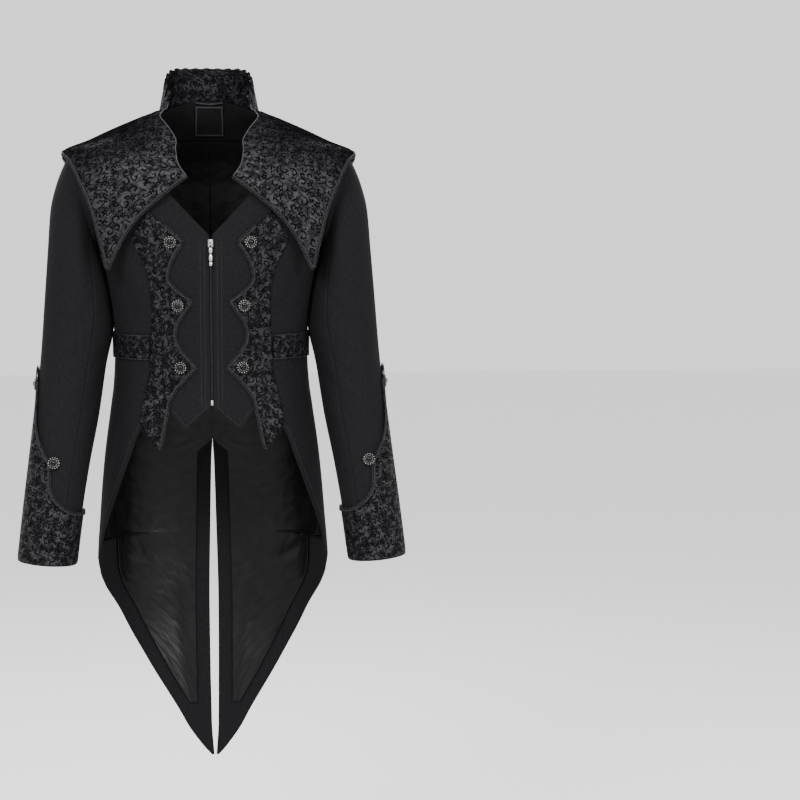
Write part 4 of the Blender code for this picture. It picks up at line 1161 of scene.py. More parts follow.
def skin(rows: int, sides: int, closed: bool = False) -> list[tuple[int, ...]]:
    """Faces between rings of points.

    Args:
        rows: how many rings there are.
        sides: how many points a ring has.
        closed: True where the last ring meets the first. Otherwise both ends are capped.

    Returns:
        The faces, by the points' numbers.
    """
    faces = []
    for i in range(rows if closed else rows - 1):
        here = i * sides
        after = (i + 1) % rows * sides
        for j in range(sides):
            k = (j + 1) % sides
            faces.append((here + j, here + k, after + k, after + j))
    if not closed:
        faces.append(tuple(range(sides))[::-1])
        faces.append(tuple((rows - 1) * sides + j for j in range(sides)))
    return faces


@dataclass
class Parts:
    """Many small shapes that are joined into one mesh."""

    points: list[Array] = field(default_factory=list)
    faces: list[tuple[int, ...]] = field(default_factory=list)
    tarnish: list[Array] = field(default_factory=list)
    count: int = 0

    def put(self, points: Array, faces: list[tuple[int, ...]], tarnish: Array | float = 0.0) -> None:
        """Adds one shape.

        Args:
            points: its points.
            faces: its faces, by the points' numbers.
            tarnish: its share of dark oxide, one value or one a point.
        """
        self.faces += [tuple(i + self.count for i in face) for face in faces]
        self.points.append(points)
        self.tarnish.append(np.broadcast_to(tarnish, (len(points),)))
        self.count += len(points)

    def tube(
        self, path: Array, up: Array, radius: Array | float, sides: int = 6,
        closed: bool = False, tarnish: Array | float = 0.0, flat: float = 1.0,
    ) -> None:
        """Adds a tube along a path.

        Args:
            path: its middle line, a point a row.
            up: a direction that isn't along the path, one for all or one a point.
            radius: one value, or one a point.
            sides: how many sides it has.
            closed: True where its end meets its start.
            tarnish: its share of dark oxide, one value or one a point of the path.
            flat: its thickness along up, as a share of its width.
        """
        if closed:
            run = np.roll(path, -1, axis=0) - np.roll(path, 1, axis=0)
        else:
            run = np.gradient(path, axis=0)
        beside = unit(np.cross(run, up))
        above = unit(np.cross(beside, run))
        radius = np.broadcast_to(radius, (len(path),))[:, None, None]
        turn = 2 * np.pi * (np.arange(sides) + 0.5) / sides
        ring = (
            np.cos(turn)[None, :, None] * beside[:, None, :]
            + flat * np.sin(turn)[None, :, None] * above[:, None, :]
        )
        points = (path[:, None, :] + radius * ring).reshape(-1, 3)
        faces = skin(len(path), sides, closed)
        self.put(points, faces, np.repeat(np.broadcast_to(tarnish, (len(path),)), sides))

    def turned(
        self, profile: list[tuple[float, float, float]], base: Array, axis: Array,
        sides: int = 24, waves: int = 0, depth: float = 0.0,
    ) -> None:
        """Adds a turned shape.

        Args:
            profile: radius, height and tarnish from the bottom's rim to the top.
            base: where its axis starts.
            axis: the direction of its axis.
            sides: how many sides it has.
            waves: how many lobes its rim has.
            depth: how far the lobes cut into the rim, as a share.
        """
        axis = unit(np.asarray(axis, float))
        guide = np.array([0.0, 0.0, 1.0]) if abs(axis[2]) < 0.9 else np.array([1.0, 0.0, 0.0])
        first = unit(np.cross(guide, axis))
        second = np.cross(axis, first)
        turn = 2 * np.pi * np.arange(sides) / sides
        largest = max(radius for radius, _, _ in profile)
        rings = []
        shades = []
        for radius, height, tarnish in profile:
            lobes = 1 - depth * (radius / largest) ** 4 * (0.5 - 0.5 * np.cos(waves * turn))
            reach = radius * lobes
            ring = base + axis * height + np.outer(np.cos(turn) * reach, first)
            rings.append(ring + np.outer(np.sin(turn) * reach, second))
            shades.append(np.full(sides, tarnish))
        self.put(np.concatenate(rings), skin(len(profile), sides), np.concatenate(shades))

    def bead(self, middle: Array, radius: float, tarnish: float = 0.0, sides: int = 8) -> None:
        """Adds a small ball.

        Args:
            middle: its centre.
            radius: its radius.
            tarnish: its share of dark oxide.
            sides: how many sides it has.
        """
        tilt = np.linspace(-0.42, 0.42, 5) * np.pi
        profile = [
            (radius * math.cos(value), radius * math.sin(value), tarnish) for value in tilt
        ]
        self.turned(profile, middle, np.array([0.0, -1.0, 0.0]), sides)

    def block(self, middle: Array, size: tuple[float, float, float], tarnish: float = 0.0) -> None:
        """Adds a block with its long edges taken off.

        Args:
            middle: its centre.
            size: its width, depth and height.
            tarnish: its share of dark oxide.
        """
        half = np.array(size) / 2
        cut = min(size) * 0.25
        outline = [
            (-half[0], -half[2] + cut), (-half[0] + cut, -half[2]), (half[0] - cut, -half[2]),
            (half[0], -half[2] + cut), (half[0], half[2] - cut), (half[0] - cut, half[2]),
            (-half[0] + cut, half[2]), (-half[0], half[2] - cut),
        ]
        points = [(x, -half[1], z) for x, z in outline] + [(x, half[1], z) for x, z in outline]
        faces = [tuple(range(8)), tuple(range(15, 7, -1))]
        faces += [(i, i + 8, (i + 1) % 8 + 8, (i + 1) % 8) for i in range(8)]
        self.put(np.array(points) + middle, faces, tarnish)

    def build(
        self, name: str, finish: Material, slot: str, nodes: tuple[str, ...] = (),
        body: str = COAT,
    ) -> bpy.types.Object:
        """Joins the shapes.

        Args:
            name: the object's name.
            finish: its material.
            slot: the slot of its finish; not used.
            nodes: the nodes that it replaces, or none.
            body: the body that it moves with.

        Returns:
            The object.
        """
        mesh = bpy.data.meshes.new(name)
        mesh.from_pydata(np.concatenate(self.points).tolist(), [], self.faces)
        mesh.materials.append(finish)
        shade = mesh.attributes.new("tarnish", "FLOAT", "POINT")
        shade.data.foreach_set("value", np.concatenate(self.tarnish).astype(np.float32))
        mesh.shade_smooth()
        obj = bpy.data.objects.new(name, mesh)
        bpy.context.scene.collection.objects.link(obj)
        return seat(obj, body, nodes)


def resampled(path: Array, step: float, *others: Array) -> tuple[Array, ...]:
    """Evens out a path.

    Args:
        path: its points.
        step: about how far apart the new points are.
        *others: arrays with a row for each point of the path.

    Returns:
        The path and the arrays at the new points.
    """
    along = lengths(path, 0)
    count = max(2, round(along[-1] / step))
    at = np.linspace(0.0, along[-1], count + 1)
    return tuple(
        np.stack([np.interp(at, along, column) for column in array.T], axis=-1)
        for array in (path, *others)
    )


def laid(
    form: Form | SleeveForm, first: Array, second: Array, side: Side, out: float = 0.0
) -> tuple[Array, tuple[float, ...]]:
    """A grid on a form.

    Args:
        form: the form it lies on.
        first: the levels or steps.
        second: the angles.
        side: the side of the coat.
        out: how far beyond the form.

    Returns:
        The grid's points, and the outward direction at its middle.
    """
    first, second = np.broadcast_arrays(first, second)
    grid = form.point(first, second, side, out)
    row = (grid.shape[0] - 1) // 2
    column = (grid.shape[1] - 1) // 2
    beyond = form.point(first[row, column], second[row, column], side, out + MM)
    return grid, tuple(beyond - grid[row, column])


def doubled(form: Form, first: Array, second: Array, out: Array | float = 0.0) -> Array:
    """A grid over both sides, from the levels and angles of its right half.

    Args:
        form: the form it lies on.
        first: levels.
        second: angles, with the centre line in the first column.
        out: how far beyond the form.

    Returns:
        The points, from the left edge to the right.
    """
    left = form.point(first, second, Side.LEFT, out)
    right = form.point(first, second, Side.RIGHT, out)
    return np.concatenate([left[:, ::-1], right[:, 1:]], axis=1)


def across(start: Array, end: Array, shares: Array) -> Array:
    """Values between two edges: a row for each of their entries, a column for each share."""
    return start[:, None] + (end - start)[:, None] * shares[None, :]


def shares_of(width: float, step: float = GRID) -> Array:
    """Shares across a width, closer at both ends."""
    return spread(0.0, width, step) / width


@dataclass
class BodyPanels:
    """One side of the body: centre front, side front, side back and centre back."""

    wardrobe: Wardrobe
    side: Side
    centre_front_width: float = 0.080
    side_front_width: float = 0.130
    side_back_width: float = 0.110
    centre_back_width: float = 0.170
    hem_inner: tuple[float, float] = (-0.4560, 0.0026)
    hem_point: tuple[float, float] = (-0.4896, 0.0400)
    hem_outer: tuple[float, float] = (-0.4580, 0.0655)
    tail_ease: float = 0.026

    def cut(self, stem: str, z: Array, angle: Array, turned: tuple[str, ...]) -> bpy.types.Object:
        """Makes one twill panel.

        Args:
            stem: its name without the side's letter.
            z: the levels of its grid.
            angle: the angles of its grid.
            turned: the edges that sink into a seam.

        Returns:
            The panel's object.
        """
        grid, outward = laid(BODY, z, angle, self.side)
        name = self.side.tag(stem)
        return Cut(name, grid, outward, self.wardrobe.twill, "twill", turned=turned).build()

    def hem_level(self, x: Array) -> Array:
        """The pointed hem's level at a distance from the centre."""
        corners = (self.hem_inner, self.hem_point, self.hem_outer)
        return np.interp(x, [c[1] for c in corners], [c[0] for c in corners]) - SEAM

    def centre_front(self) -> None:
        """From the V neck down the zip to the pointed hem."""
        width = self.hem_outer[1] - self.hem_inner[1]
        shares = shares_of(self.centre_front_width, FINE)
        point = (self.hem_point[1] - self.hem_inner[1]) / width
        shares = np.sort(np.append(shares, point))
        low = self.hem_level(self.hem_inner[1] + width * shares)
        down = spread(0.0, 1.0, FINE / abs(self.hem_point[0] - TOP))
        z = TOP + (low - TOP)[None, :] * down[:, None]
        a = BODY.angle(z, neck_edge(z), FRONT)
        b = BODY.angle(z, FRONT_SEAM.x(z), FRONT)
        self.cut("centre_front", z, a + (b - a) * shares[None, :], ("last",))

    def inner_edge(self, z: Array) -> Array:
        """The side front's inner edge: the front seam, then the cut-away."""
        x = np.where(z >= WAIST_CORNER, FRONT_SEAM.x(z), CUT_AWAY.x(z))
        return BODY.angle(z, x, FRONT)

    def side_front(self) -> None:
        """From the armhole to the waist, then the cut-away skirt."""
        z = spread(TOP, TAIL_CORNER + MM, FINE)
        edge = ARM.armhole_angle(z, FRONT)
        angle = across(self.inner_edge(z), edge, shares_of(self.side_front_width))
        self.cut("side_front", z[:, None], angle, ("first", "last"))

    def hem_angle(self, z: Array) -> Array:
        """The tail hem's angle, which leaves the side seam softly."""
        ease = np.clip((TAIL_CORNER + MM - z) / self.tail_ease, 0.0, 1.0)
        return BODY.angle(z, TAIL_HEM.x(z), BACK) * ease

    def side_back(self) -> None:
        """From the armhole to the tail's hem."""
        z = spread(SIDE_BACK_TOP, SIDE_BACK_TIP, GRID)
        inner = BODY.angle(z, BACK_SEAM.x(z), BACK)
        outer = np.where(z > TAIL_CORNER, ARM.armhole_angle(z, BACK), self.hem_angle(z))
        angle = across(inner, outer, shares_of(self.side_back_width))
        self.cut("side_back", z[:, None], angle, ("first", "last"))

    def centre_back(self) -> None:
        """From the neck to the tail's tip, open below the waist."""
        shares = shares_of(self.centre_back_width)
        top_angle = BACK * (1 - shares)[None, :]
        part = np.linspace(0.0, 1.0, 9)[:-1, None]
        high = neck_level(top_angle) - SEAM
        top_z = high + (TOP - high) * part
        z = spread(TOP, TAIL_TIP, GRID, ends=False)
        x = np.where(z > VENT_TOP, 0.0, VENT.x(z))
        centre = BODY.angle(z, x, BACK)
        seam = BODY.angle(z, BACK_SEAM.x(z), BACK)
        outer = np.where(z > TAIL_TURN, seam, self.hem_angle(z))
        outer = np.where(z >= BACK_SEAM_TOP, ARM.armhole_angle(z, BACK), outer)
        angle = across(centre, outer, shares)
        z = np.broadcast_to(z[:, None], angle.shape)
        top_angle = np.broadcast_to(top_angle, top_z.shape)
        self.cut(
            "centre_back", np.vstack([top_z, z]), np.vstack([top_angle, angle]), ("first", "last")
        )

    def build(self) -> None:
        """Cuts and places the four panels."""
        self.centre_front()
        self.side_front()
        self.side_back()
        self.centre_back()


@dataclass
class PicotBraid:
    """Crocheted braid: a two-ply cord with a row of small loops along its outer side."""

    finish: Material
    pitch: float = 3.3 * MM
    loop: float = 1.5 * MM
    yarn: float = 0.48 * MM
    ply: float = 0.85 * MM
    lay: float = 4.2 * MM
    step: float = 1.1 * MM
    loop_sides: int = 10

    def build(self, name: str, path: Array, up: Array, middle: Array) -> bpy.types.Object:
        """The braid along an edge.

        Args:
            name: the node that it stands for.
            path: the edge's points.
            up: the cloth's outward direction at each.
            middle: a point inside the cloth, which the loops turn away from.

        Returns:
            The braid's object.
        """
        path, up = resampled(path, self.step, up)
        up = unit(up)
        run = unit(np.gradient(path, axis=0))
        beside = unit(np.cross(run, up))
        if ((path - middle) * beside).sum(axis=-1).mean() < 0:
            beside = -beside
        parts = Parts()
        along = np.arange(len(path)) * self.step
        for start in (0.0, np.pi):
            turn = 2 * np.pi * along / self.lay + start
            sway = beside * np.cos(turn)[:, None] + up * 0.45 * np.sin(turn)[:, None]
            parts.tube(path + sway * self.ply, up, self.ply, 5)
        every = max(1, round(self.pitch / self.step))
        reach = self.ply * 1.6 + self.loop * 0.75
        for i in range(every // 2, len(path), every):
            middle = path[i] + beside[i] * reach
            ring = circle(middle, run[i] * self.loop, beside[i] * self.loop, self.loop_sides)
            parts.tube(ring, up[i], self.yarn, 4, closed=True)
        return parts.build(name + "_picot", self.finish, "braid", (name,))


def edge_of(
    form: Form | SleeveForm, first: Array, second: Array, side: Side, out: float
) -> tuple[Array, Array]:
    """Points along a line on a form, and the outward direction at each."""
    points = form.point(first, second, side, out)
    return points, unit(form.point(first, second, side, out + MM) - points)


@dataclass
class Sleeve:
    """One sleeve: top and under sleeve, brocade cuff and its braid."""

    wardrobe: Wardrobe
    side: Side
    under_start: float = 118.0
    under_end: float = 252.0
    rows_a_step: int = 14
    top_columns: int = 64
    under_columns: int = 38
    cuff_columns: int = 96
    cuff_rows: int = 44
    braid_end: float = 179.0
    braid_drop: float = 0.03
    step_length: float = 0.0815
    cuff_edge: Table = Table(
        (0.0, 7.35), (16.0, 7.60), (27.0, 8.25), (42.0, 8.65), (62.0, 8.92),
        (74.0, 9.08), (82.0, 9.55), (98.0, 9.82), (130.0, 9.98), (180.0, 10.0),
    )

    def panel(self, stem: str, start: float, end: float, columns: int) -> None:
        """Makes the part of the sleeve between two seams.

        Args:
            stem: its name without the side's letter.
            start: the first seam's angle.
            end: the last seam's angle.
            columns: how many columns its grid has.
        """
        steps = np.linspace(0.0, ARM.hem, round(ARM.hem) * self.rows_a_step + 1)
        shares = np.unique(np.concatenate([np.linspace(0, 1, columns + 1), [0.01, 0.99]]))
        angle = start + (end - start) * shares
        grid, outward = laid(ARM, steps[:, None], angle[None, :], self.side)
        Cut(
            self.side.tag(stem), grid, outward, self.wardrobe.twill, "twill",
            turned=("first", "last", "top"),
        ).build()

    def cuff(self) -> None:
        """The cuff, whose upper edge runs up the arm's outer side."""
        angle = np.linspace(0.0, 360.0, self.cuff_columns + 1)
        high = self.cuff_edge.x(np.minimum(angle, 360.0 - angle))
        down = np.linspace(0.0, 1.0, self.cuff_rows + 1)
        steps = high[None, :] + (ARM.hem - high)[None, :] * down[:, None]
        grid, outward = laid(ARM, steps, angle[None, :], self.side, OVERLAY)
        around = np.broadcast_to(lengths(grid, 1)[-1], steps.shape)
        places = np.stack([around, steps * self.step_length], axis=-1)
        Cut(
            self.side.tag("cuff"), grid, outward, self.wardrobe.trim_brocade, "brocade",
            closed=True, turned=("bottom",), overlap=0.0, places=places,
        ).build()

    def edge(self) -> None:
        """The braid on the cuff's upper edge."""
        angle = np.linspace(-self.braid_end, self.braid_end, 241)
        steps = self.cuff_edge.x(np.abs(angle)) + self.braid_drop
        path, up = edge_of(ARM, steps, angle, self.side, OVERLAY + BRAID_RADIUS)
        low = ARM.ring(np.array(ARM.hem), np.array(0.0)) * np.array([self.side.value, 1, 1])
        PicotBraid(self.wardrobe.braid).build(self.side.tag("cuff_braid"), path, up, low)

    def build(self) -> None:
        """Cuts and places the sleeve."""
        self.panel("top_sleeve", self.under_end - 360.0, self.under_start, self.top_columns)
        self.panel("under_sleeve", self.under_start, self.under_end, self.under_columns)
        self.cuff()
        self.edge()


@dataclass
class Patch:
    """A patch of the mantle between four edges, each a list of levels and angles."""

    top: list[tuple[float, float]]
    bottom: list[tuple[float, float]]
    inner: list[tuple[float, float]]
    outer: list[tuple[float, float]]

    def edge(self, lines: list[tuple[float, float]], share: Array) -> Array:
        """Reads one edge by its own length.

        Args:
            lines: the edge's levels and angles.
            share: shares of its length.

        Returns:
            A level and an angle for each share.
        """
        places = np.array(lines, float)
        points = MANTLE.ring(places[:, 0], places[:, 1])
        along = lengths(points, 0)
        rows = [(at / along[-1], *place) for at, place in zip(along, places)]
        return Table(*rows).at(share)

    def fill(self, u: Array, v: Array) -> Array:
        """Fills the patch.

        Args:
            u: shares from the inner edge to the outer.
            v: shares from the top to the bottom.

        Returns:
            Levels and angles, with a row for each v and a column for each u.
        """
        top = self.edge(self.top, u)[None, :, :]
        bottom = self.edge(self.bottom, u)[None, :, :]
        inner = self.edge(self.inner, v)[:, None, :]
        outer = self.edge(self.outer, v)[:, None, :]
        u = u[None, :, None]
        v = v[:, None, None]
        ruled = (1 - v) * top + v * bottom + (1 - u) * inner + u * outer
        upper = (1 - u) * top[:, :1] + u * top[:, -1:]
        lower = (1 - u) * bottom[:, :1] + u * bottom[:, -1:]
        return ruled - (1 - v) * upper - v * lower


def hung_places(grid: Array) -> Array:
    """Places on the cloth of a grid that hangs over the shoulders, front or back."""
    return np.stack([grid[..., 0], np.abs(grid[..., 1]) - grid[..., 2]], axis=-1)


def on_mantle(rows: list[tuple[float, float]], face: float) -> list[tuple[float, float]]:
    """Levels and distances from the centre, as levels and angles on the mantle."""
    return [(z, float(MANTLE.angle(z, x, face))) for z, x in rows]


@dataclass
class Mantle:
    """The brocade lapels and cape with the braid along their free edges."""

    wardrobe: Wardrobe
    lapel_inner: tuple = (
        (-0.0015, 0.0700), (-0.0297, 0.0615), (-0.0564, 0.0505),
        (-0.0846, 0.0474), (-0.1030, 0.0350),
    )
    lapel_lower: tuple = (
        (-0.1030, 0.0350), (-0.1259, 0.0661), (-0.1759, 0.1190), (-0.2435, 0.1560),
    )
    lapel_outer: tuple = (
        (-0.0634, 0.2253), (-0.0768, 0.2136), (-0.1379, 0.1833),
        (-0.2179, 0.1605), (-0.2435, 0.1560),
    )
    cape_hem: tuple = (
        (-0.1208, 0.0), (-0.1227, 0.0531), (-0.1320, 0.0923), (-0.1428, 0.1200),
        (-0.1623, 0.1516), (-0.1876, 0.1910), (-0.2136, 0.2286),
    )
    cape_outer: tuple = (
        (-0.0634, 0.2253), (-0.0900, 0.2205), (-0.1289, 0.2170),
        (-0.1784, 0.2226), (-0.2136, 0.2286),
    )
    neck_angles: tuple = (BACK, -75.0, -60.0, -45.0, -30.0, -15.0)
    columns: int = 76
    rows: int = 62

    def lapel_patch(self) -> Patch:
        """Draws the lapel's four edges.

        Returns:
            The patch, whose top runs down the neck seam and along the shoulder.
        """
        inner = on_mantle(self.lapel_inner, FRONT)
        top = [inner[0], (-0.0012, 18.0), (-0.0010, 7.0)]
        top += [(float(z), SHOULDER_ANGLE) for z in np.linspace(-0.0010, -0.0634, 7)]
        outer = on_mantle(self.lapel_outer, FRONT)
        outer[0] = top[-1]
        return Patch(top, on_mantle(self.lapel_lower, FRONT), inner, outer)

    def cape_patch(self) -> Patch:
        """Draws the four edges of half of the cape.

        Returns:
            The patch, whose top runs round the neck and along the shoulder.
        """
        top = [(float(neck_level(a)), a) for a in self.neck_angles]
        top += [(float(z), -SHOULDER_ANGLE) for z in np.linspace(-0.001, -0.0634, 6)]
        outer = on_mantle(self.cape_outer, BACK)
        outer[0] = top[-1]
        centre = [(top[0][0], BACK), (self.cape_hem[0][0], BACK)]
        return Patch(top, on_mantle(self.cape_hem, BACK), centre, outer)

    def shares(self) -> tuple[Array, Array]:
        """Shares across and down a patch."""
        return np.linspace(0, 1, self.columns + 1), np.linspace(0, 1, self.rows + 1)

    def lapel(self, side: Side) -> None:
        """Makes one lapel and the braid on its outer and lower edges.

        Args:
            side: the side of the coat.
        """
        cells = self.lapel_patch().fill(*self.shares())
        z, angle = cells[..., 0], cells[..., 1]
        grid, outward = laid(MANTLE, z, angle, side)
        Cut(
            side.tag("lapel"), grid, outward, self.wardrobe.brocade, "brocade",
            turned=("top",), sink=0.5 * MM, places=hung_places(grid),
        ).build()
        edge = np.concatenate([cells[:, -1], cells[-1, ::-1][1:]])
        path, up = edge_of(MANTLE, edge[:, 0], edge[:, 1], side, BRAID_RADIUS * 0.6)
        middle = grid[self.rows // 2, self.columns // 2]
        PicotBraid(self.wardrobe.braid).build(side.tag("lapel_braid"), path, up, middle)

    def cape(self) -> None:
        """The cape over both shoulders, and the braid round its edge."""
        cells = self.cape_patch().fill(*self.shares())
        z, angle = cells[..., 0], cells[..., 1]
        grid = doubled(MANTLE, z, angle)
        Cut(
            "cape", grid, (0.0, 1.0, 0.2), self.wardrobe.brocade, "brocade",
            turned=("top",), sink=0.5 * MM, places=hung_places(grid),
        ).build()
        edge = np.concatenate([cells[1:, -1], cells[-1, ::-1][1:]])
        ends = [edge_of(MANTLE, edge[:, 0], edge[:, 1], side, BRAID_RADIUS * 0.6) for side in Side]
        path, up = (np.concatenate([ends[0][k], ends[1][k][::-1][1:]]) for k in range(2))
        middle = grid[self.rows // 2, self.columns]
        PicotBraid(self.wardrobe.braid).build("cape_braid", path, up, middle)

    def build(self) -> None:
        """Cuts and places both lapels and the cape."""
        for side in Side:
            self.lapel(side)
        self.cape()


@dataclass
class Collar:
    """The brocade stand collar and the box-pleated ruffle on its upper edge."""

    wardrobe: Wardrobe
    front_angle: float = 34.0
    tops: Table = Table(
        (-90.0, 0.0560), (-45.0, 0.0545), (-15.0, 0.0490), (5.0, 0.0395), (18.0, 0.0265),
        (34.0, 0.0080),
    )
    columns: int = 96
    rows: int = 20
    ruffle_height: float = 0.0135
    pleat: float = 0.0170
    pleat_depth: float = 0.0030
    scallop: float = 0.0011
    pleat_points: tuple = (
        (0.00, 1.0), (0.06, 1.0), (0.20, 1.0), (0.40, 1.0), (0.54, 1.0), (0.58, 0.93),
        (0.605, 0.6), (0.63, 0.15), (0.66, 0.0), (0.73, 0.0), (0.87, 0.0), (0.94, 0.0),
        (0.965, 0.3), (0.985, 0.8),
    )

    def top(self, angle: Array) -> Array:
        """The height of the collar's upper edge, lower towards the front."""
        return self.tops.x(angle)

    def stand(self) -> None:
        """The stand, from the neck seam to the ruffle."""
        angle = np.linspace(BACK, self.front_angle, self.columns + 1)[None, :]
        down = np.linspace(0.0, 1.0, self.rows + 1)[:, None]
        high = self.top(angle)
        z = high + (neck_level(angle) - SEAM - high) * down
        Cut(
            "stand_collar", doubled(BODY, z, angle), (0.0, 1.0, 0.0), self.wardrobe.trim_brocade,
            "brocade", turned=("top", "bottom"), sink=0.5 * MM,
        ).build()

    def raised(self, angle: Array, side: Side, out: Array, rise: Array) -> Array:
        """Points above the collar's upper edge, square to it.

        Args:
            angle: angles round the neck, in one row.
            side: the side of the coat.
            out: how far beyond the collar, by row and column.
            rise: how far above the edge, by row and column.

        Returns:
            The points, by row and column.
        """
        edge, up = edge_of(BODY, self.top(angle), angle, side, 0.0)
        near, _ = edge_of(BODY, self.top(angle + 1), angle + 1, side, 0.0)
        above = unit(np.cross(up, near - edge)) * -side.value
        above = above * np.copysign(1.0, above[..., 2:])
        return edge + above * rise[..., None] + up * out[..., None]

    def ruffle(self) -> None:
        """The ruffle, whose pleats stand 17 mm apart."""
        fine = np.linspace(0.0, 1.0, 601)
        angle = BACK + (self.front_angle - BACK) * fine
        half = BODY.point(self.top(angle), angle, Side.RIGHT)
        along = lengths(half, 0)
        pleats = round(2 * along[-1] / self.pleat)
        shares, depths = np.array(self.pleat_points).T
        places = ((np.arange(pleats)[:, None] + shares) / pleats * 2 - 1).ravel()
        places = np.append(places, 1.0)
        depth = np.append(np.tile(depths, pleats), 1.0)
        crown = np.append(np.tile(np.sin(np.pi * np.clip(shares / 0.6, 0, 1)), pleats), 0.0)
        turn = np.interp(np.abs(places) * along[-1], along, angle)[None, :]
        up = np.linspace(1.0, 0.0, 7)[:, None]
        out = self.pleat_depth * depth * (0.45 + 0.55 * up) + 0.8 * MM * up * crown
        rise = (self.ruffle_height + crown * self.scallop) * up - 1.2 * MM
        left = self.raised(turn, Side.LEFT, out, rise)
        right = self.raised(turn, Side.RIGHT, out, rise)
        grid = np.where((places < 0)[None, :, None], left, right)
        Cut(
            "ruffle", grid, (0.0, 1.0, 0.0), self.wardrobe.trim_brocade, "brocade", thin=True,
            held=Held.GATHERED, turned=(),
        ).build()

    def build(self) -> None:
        """Cuts and places the collar."""
        self.stand()
        self.ruffle()


@dataclass
class FrontTrim:
    """The brocade strip on the front, with three scallop points and a hanging tip."""

    wardrobe: Wardrobe
    side: Side
    inner: tuple = (
        (-0.1567, 0.0929, False), (-0.2030, 0.0420, True), (-0.2550, 0.0645, False),
        (-0.2935, 0.0282, True), (-0.3433, 0.0543, False), (-0.3953, 0.0238, True),
        (-0.4606, 0.0666, False), (-0.5200, 0.0790, False),
    )
    outer: tuple = (
        (-0.1984, 0.1192), (-0.2347, 0.1007), (-0.2663, 0.0906), (-0.3049, 0.0894),
        (-0.3821, 0.0929), (-0.4068, 0.0940), (-0.4501, 0.1053), (-0.4809, 0.1099),
        (-0.5215, 0.0830),
    )
    steps: int = 14
    columns: int = 22
    braid_start: int = 7

    def edges(self) -> tuple[Array, Array]:
        """Draws the two long edges.

        Returns:
            Matching levels and distances from the centre of the scalloped inner edge and
            of the outer edge.
        """
        inner = []
        for i, (a, b) in enumerate(zip(self.inner, self.inner[1:])):
            for t in np.arange(self.steps) / self.steps:
                bend = t
                if a[2] and not b[2]:
                    bend = math.sin(t * math.pi / 2)
                elif b[2] and not a[2] and i:
                    bend = 1 - math.cos(t * math.pi / 2)
                inner.append((a[0] + (b[0] - a[0]) * t, a[1] + (b[1] - a[1]) * bend))
        inner = np.array(inner + [self.inner[-1][:2]])
        share = (inner[0, 0] - inner[:, 0]) / (inner[0, 0] - inner[-1, 0])
        outer = np.array(self.outer)
        along = lengths(outer, 0)
        along = along / along[-1]
        matched = np.stack([np.interp(share, along, outer[:, k]) for k in range(2)], axis=-1)
        return inner, matched

    def build(self) -> None:
        """Cuts and places the trim and the braid on its inner edge."""
        inner, outer = self.edges()
        shares = np.linspace(0.0, 1.0, self.columns + 1)
        z = across(inner[:, 0], outer[:, 0], shares)
        angle = BODY.angle(z, across(inner[:, 1], outer[:, 1], shares), FRONT)
        grid, outward = laid(BODY, z, angle, self.side, OVERLAY)
        places = np.stack([grid[..., 0], -grid[..., 2]], axis=-1)
        Cut(
            self.side.tag("front_trim"), grid, outward, self.wardrobe.trim_brocade, "brocade",
            turned=("first", "last"), sink=0.5 * MM, places=places,
        ).build()
        line = inner[self.braid_start:]
        turn = BODY.angle(line[:, 0], line[:, 1] + BRAID_RADIUS, FRONT)
        path, up = edge_of(BODY, line[:, 0], turn, self.side, OVERLAY + BRAID_RADIUS * 0.6)
        braid = PicotBraid(self.wardrobe.braid)
        braid.build(self.side.tag("trim_braid"), path, up, grid[:, -1].mean(axis=0))


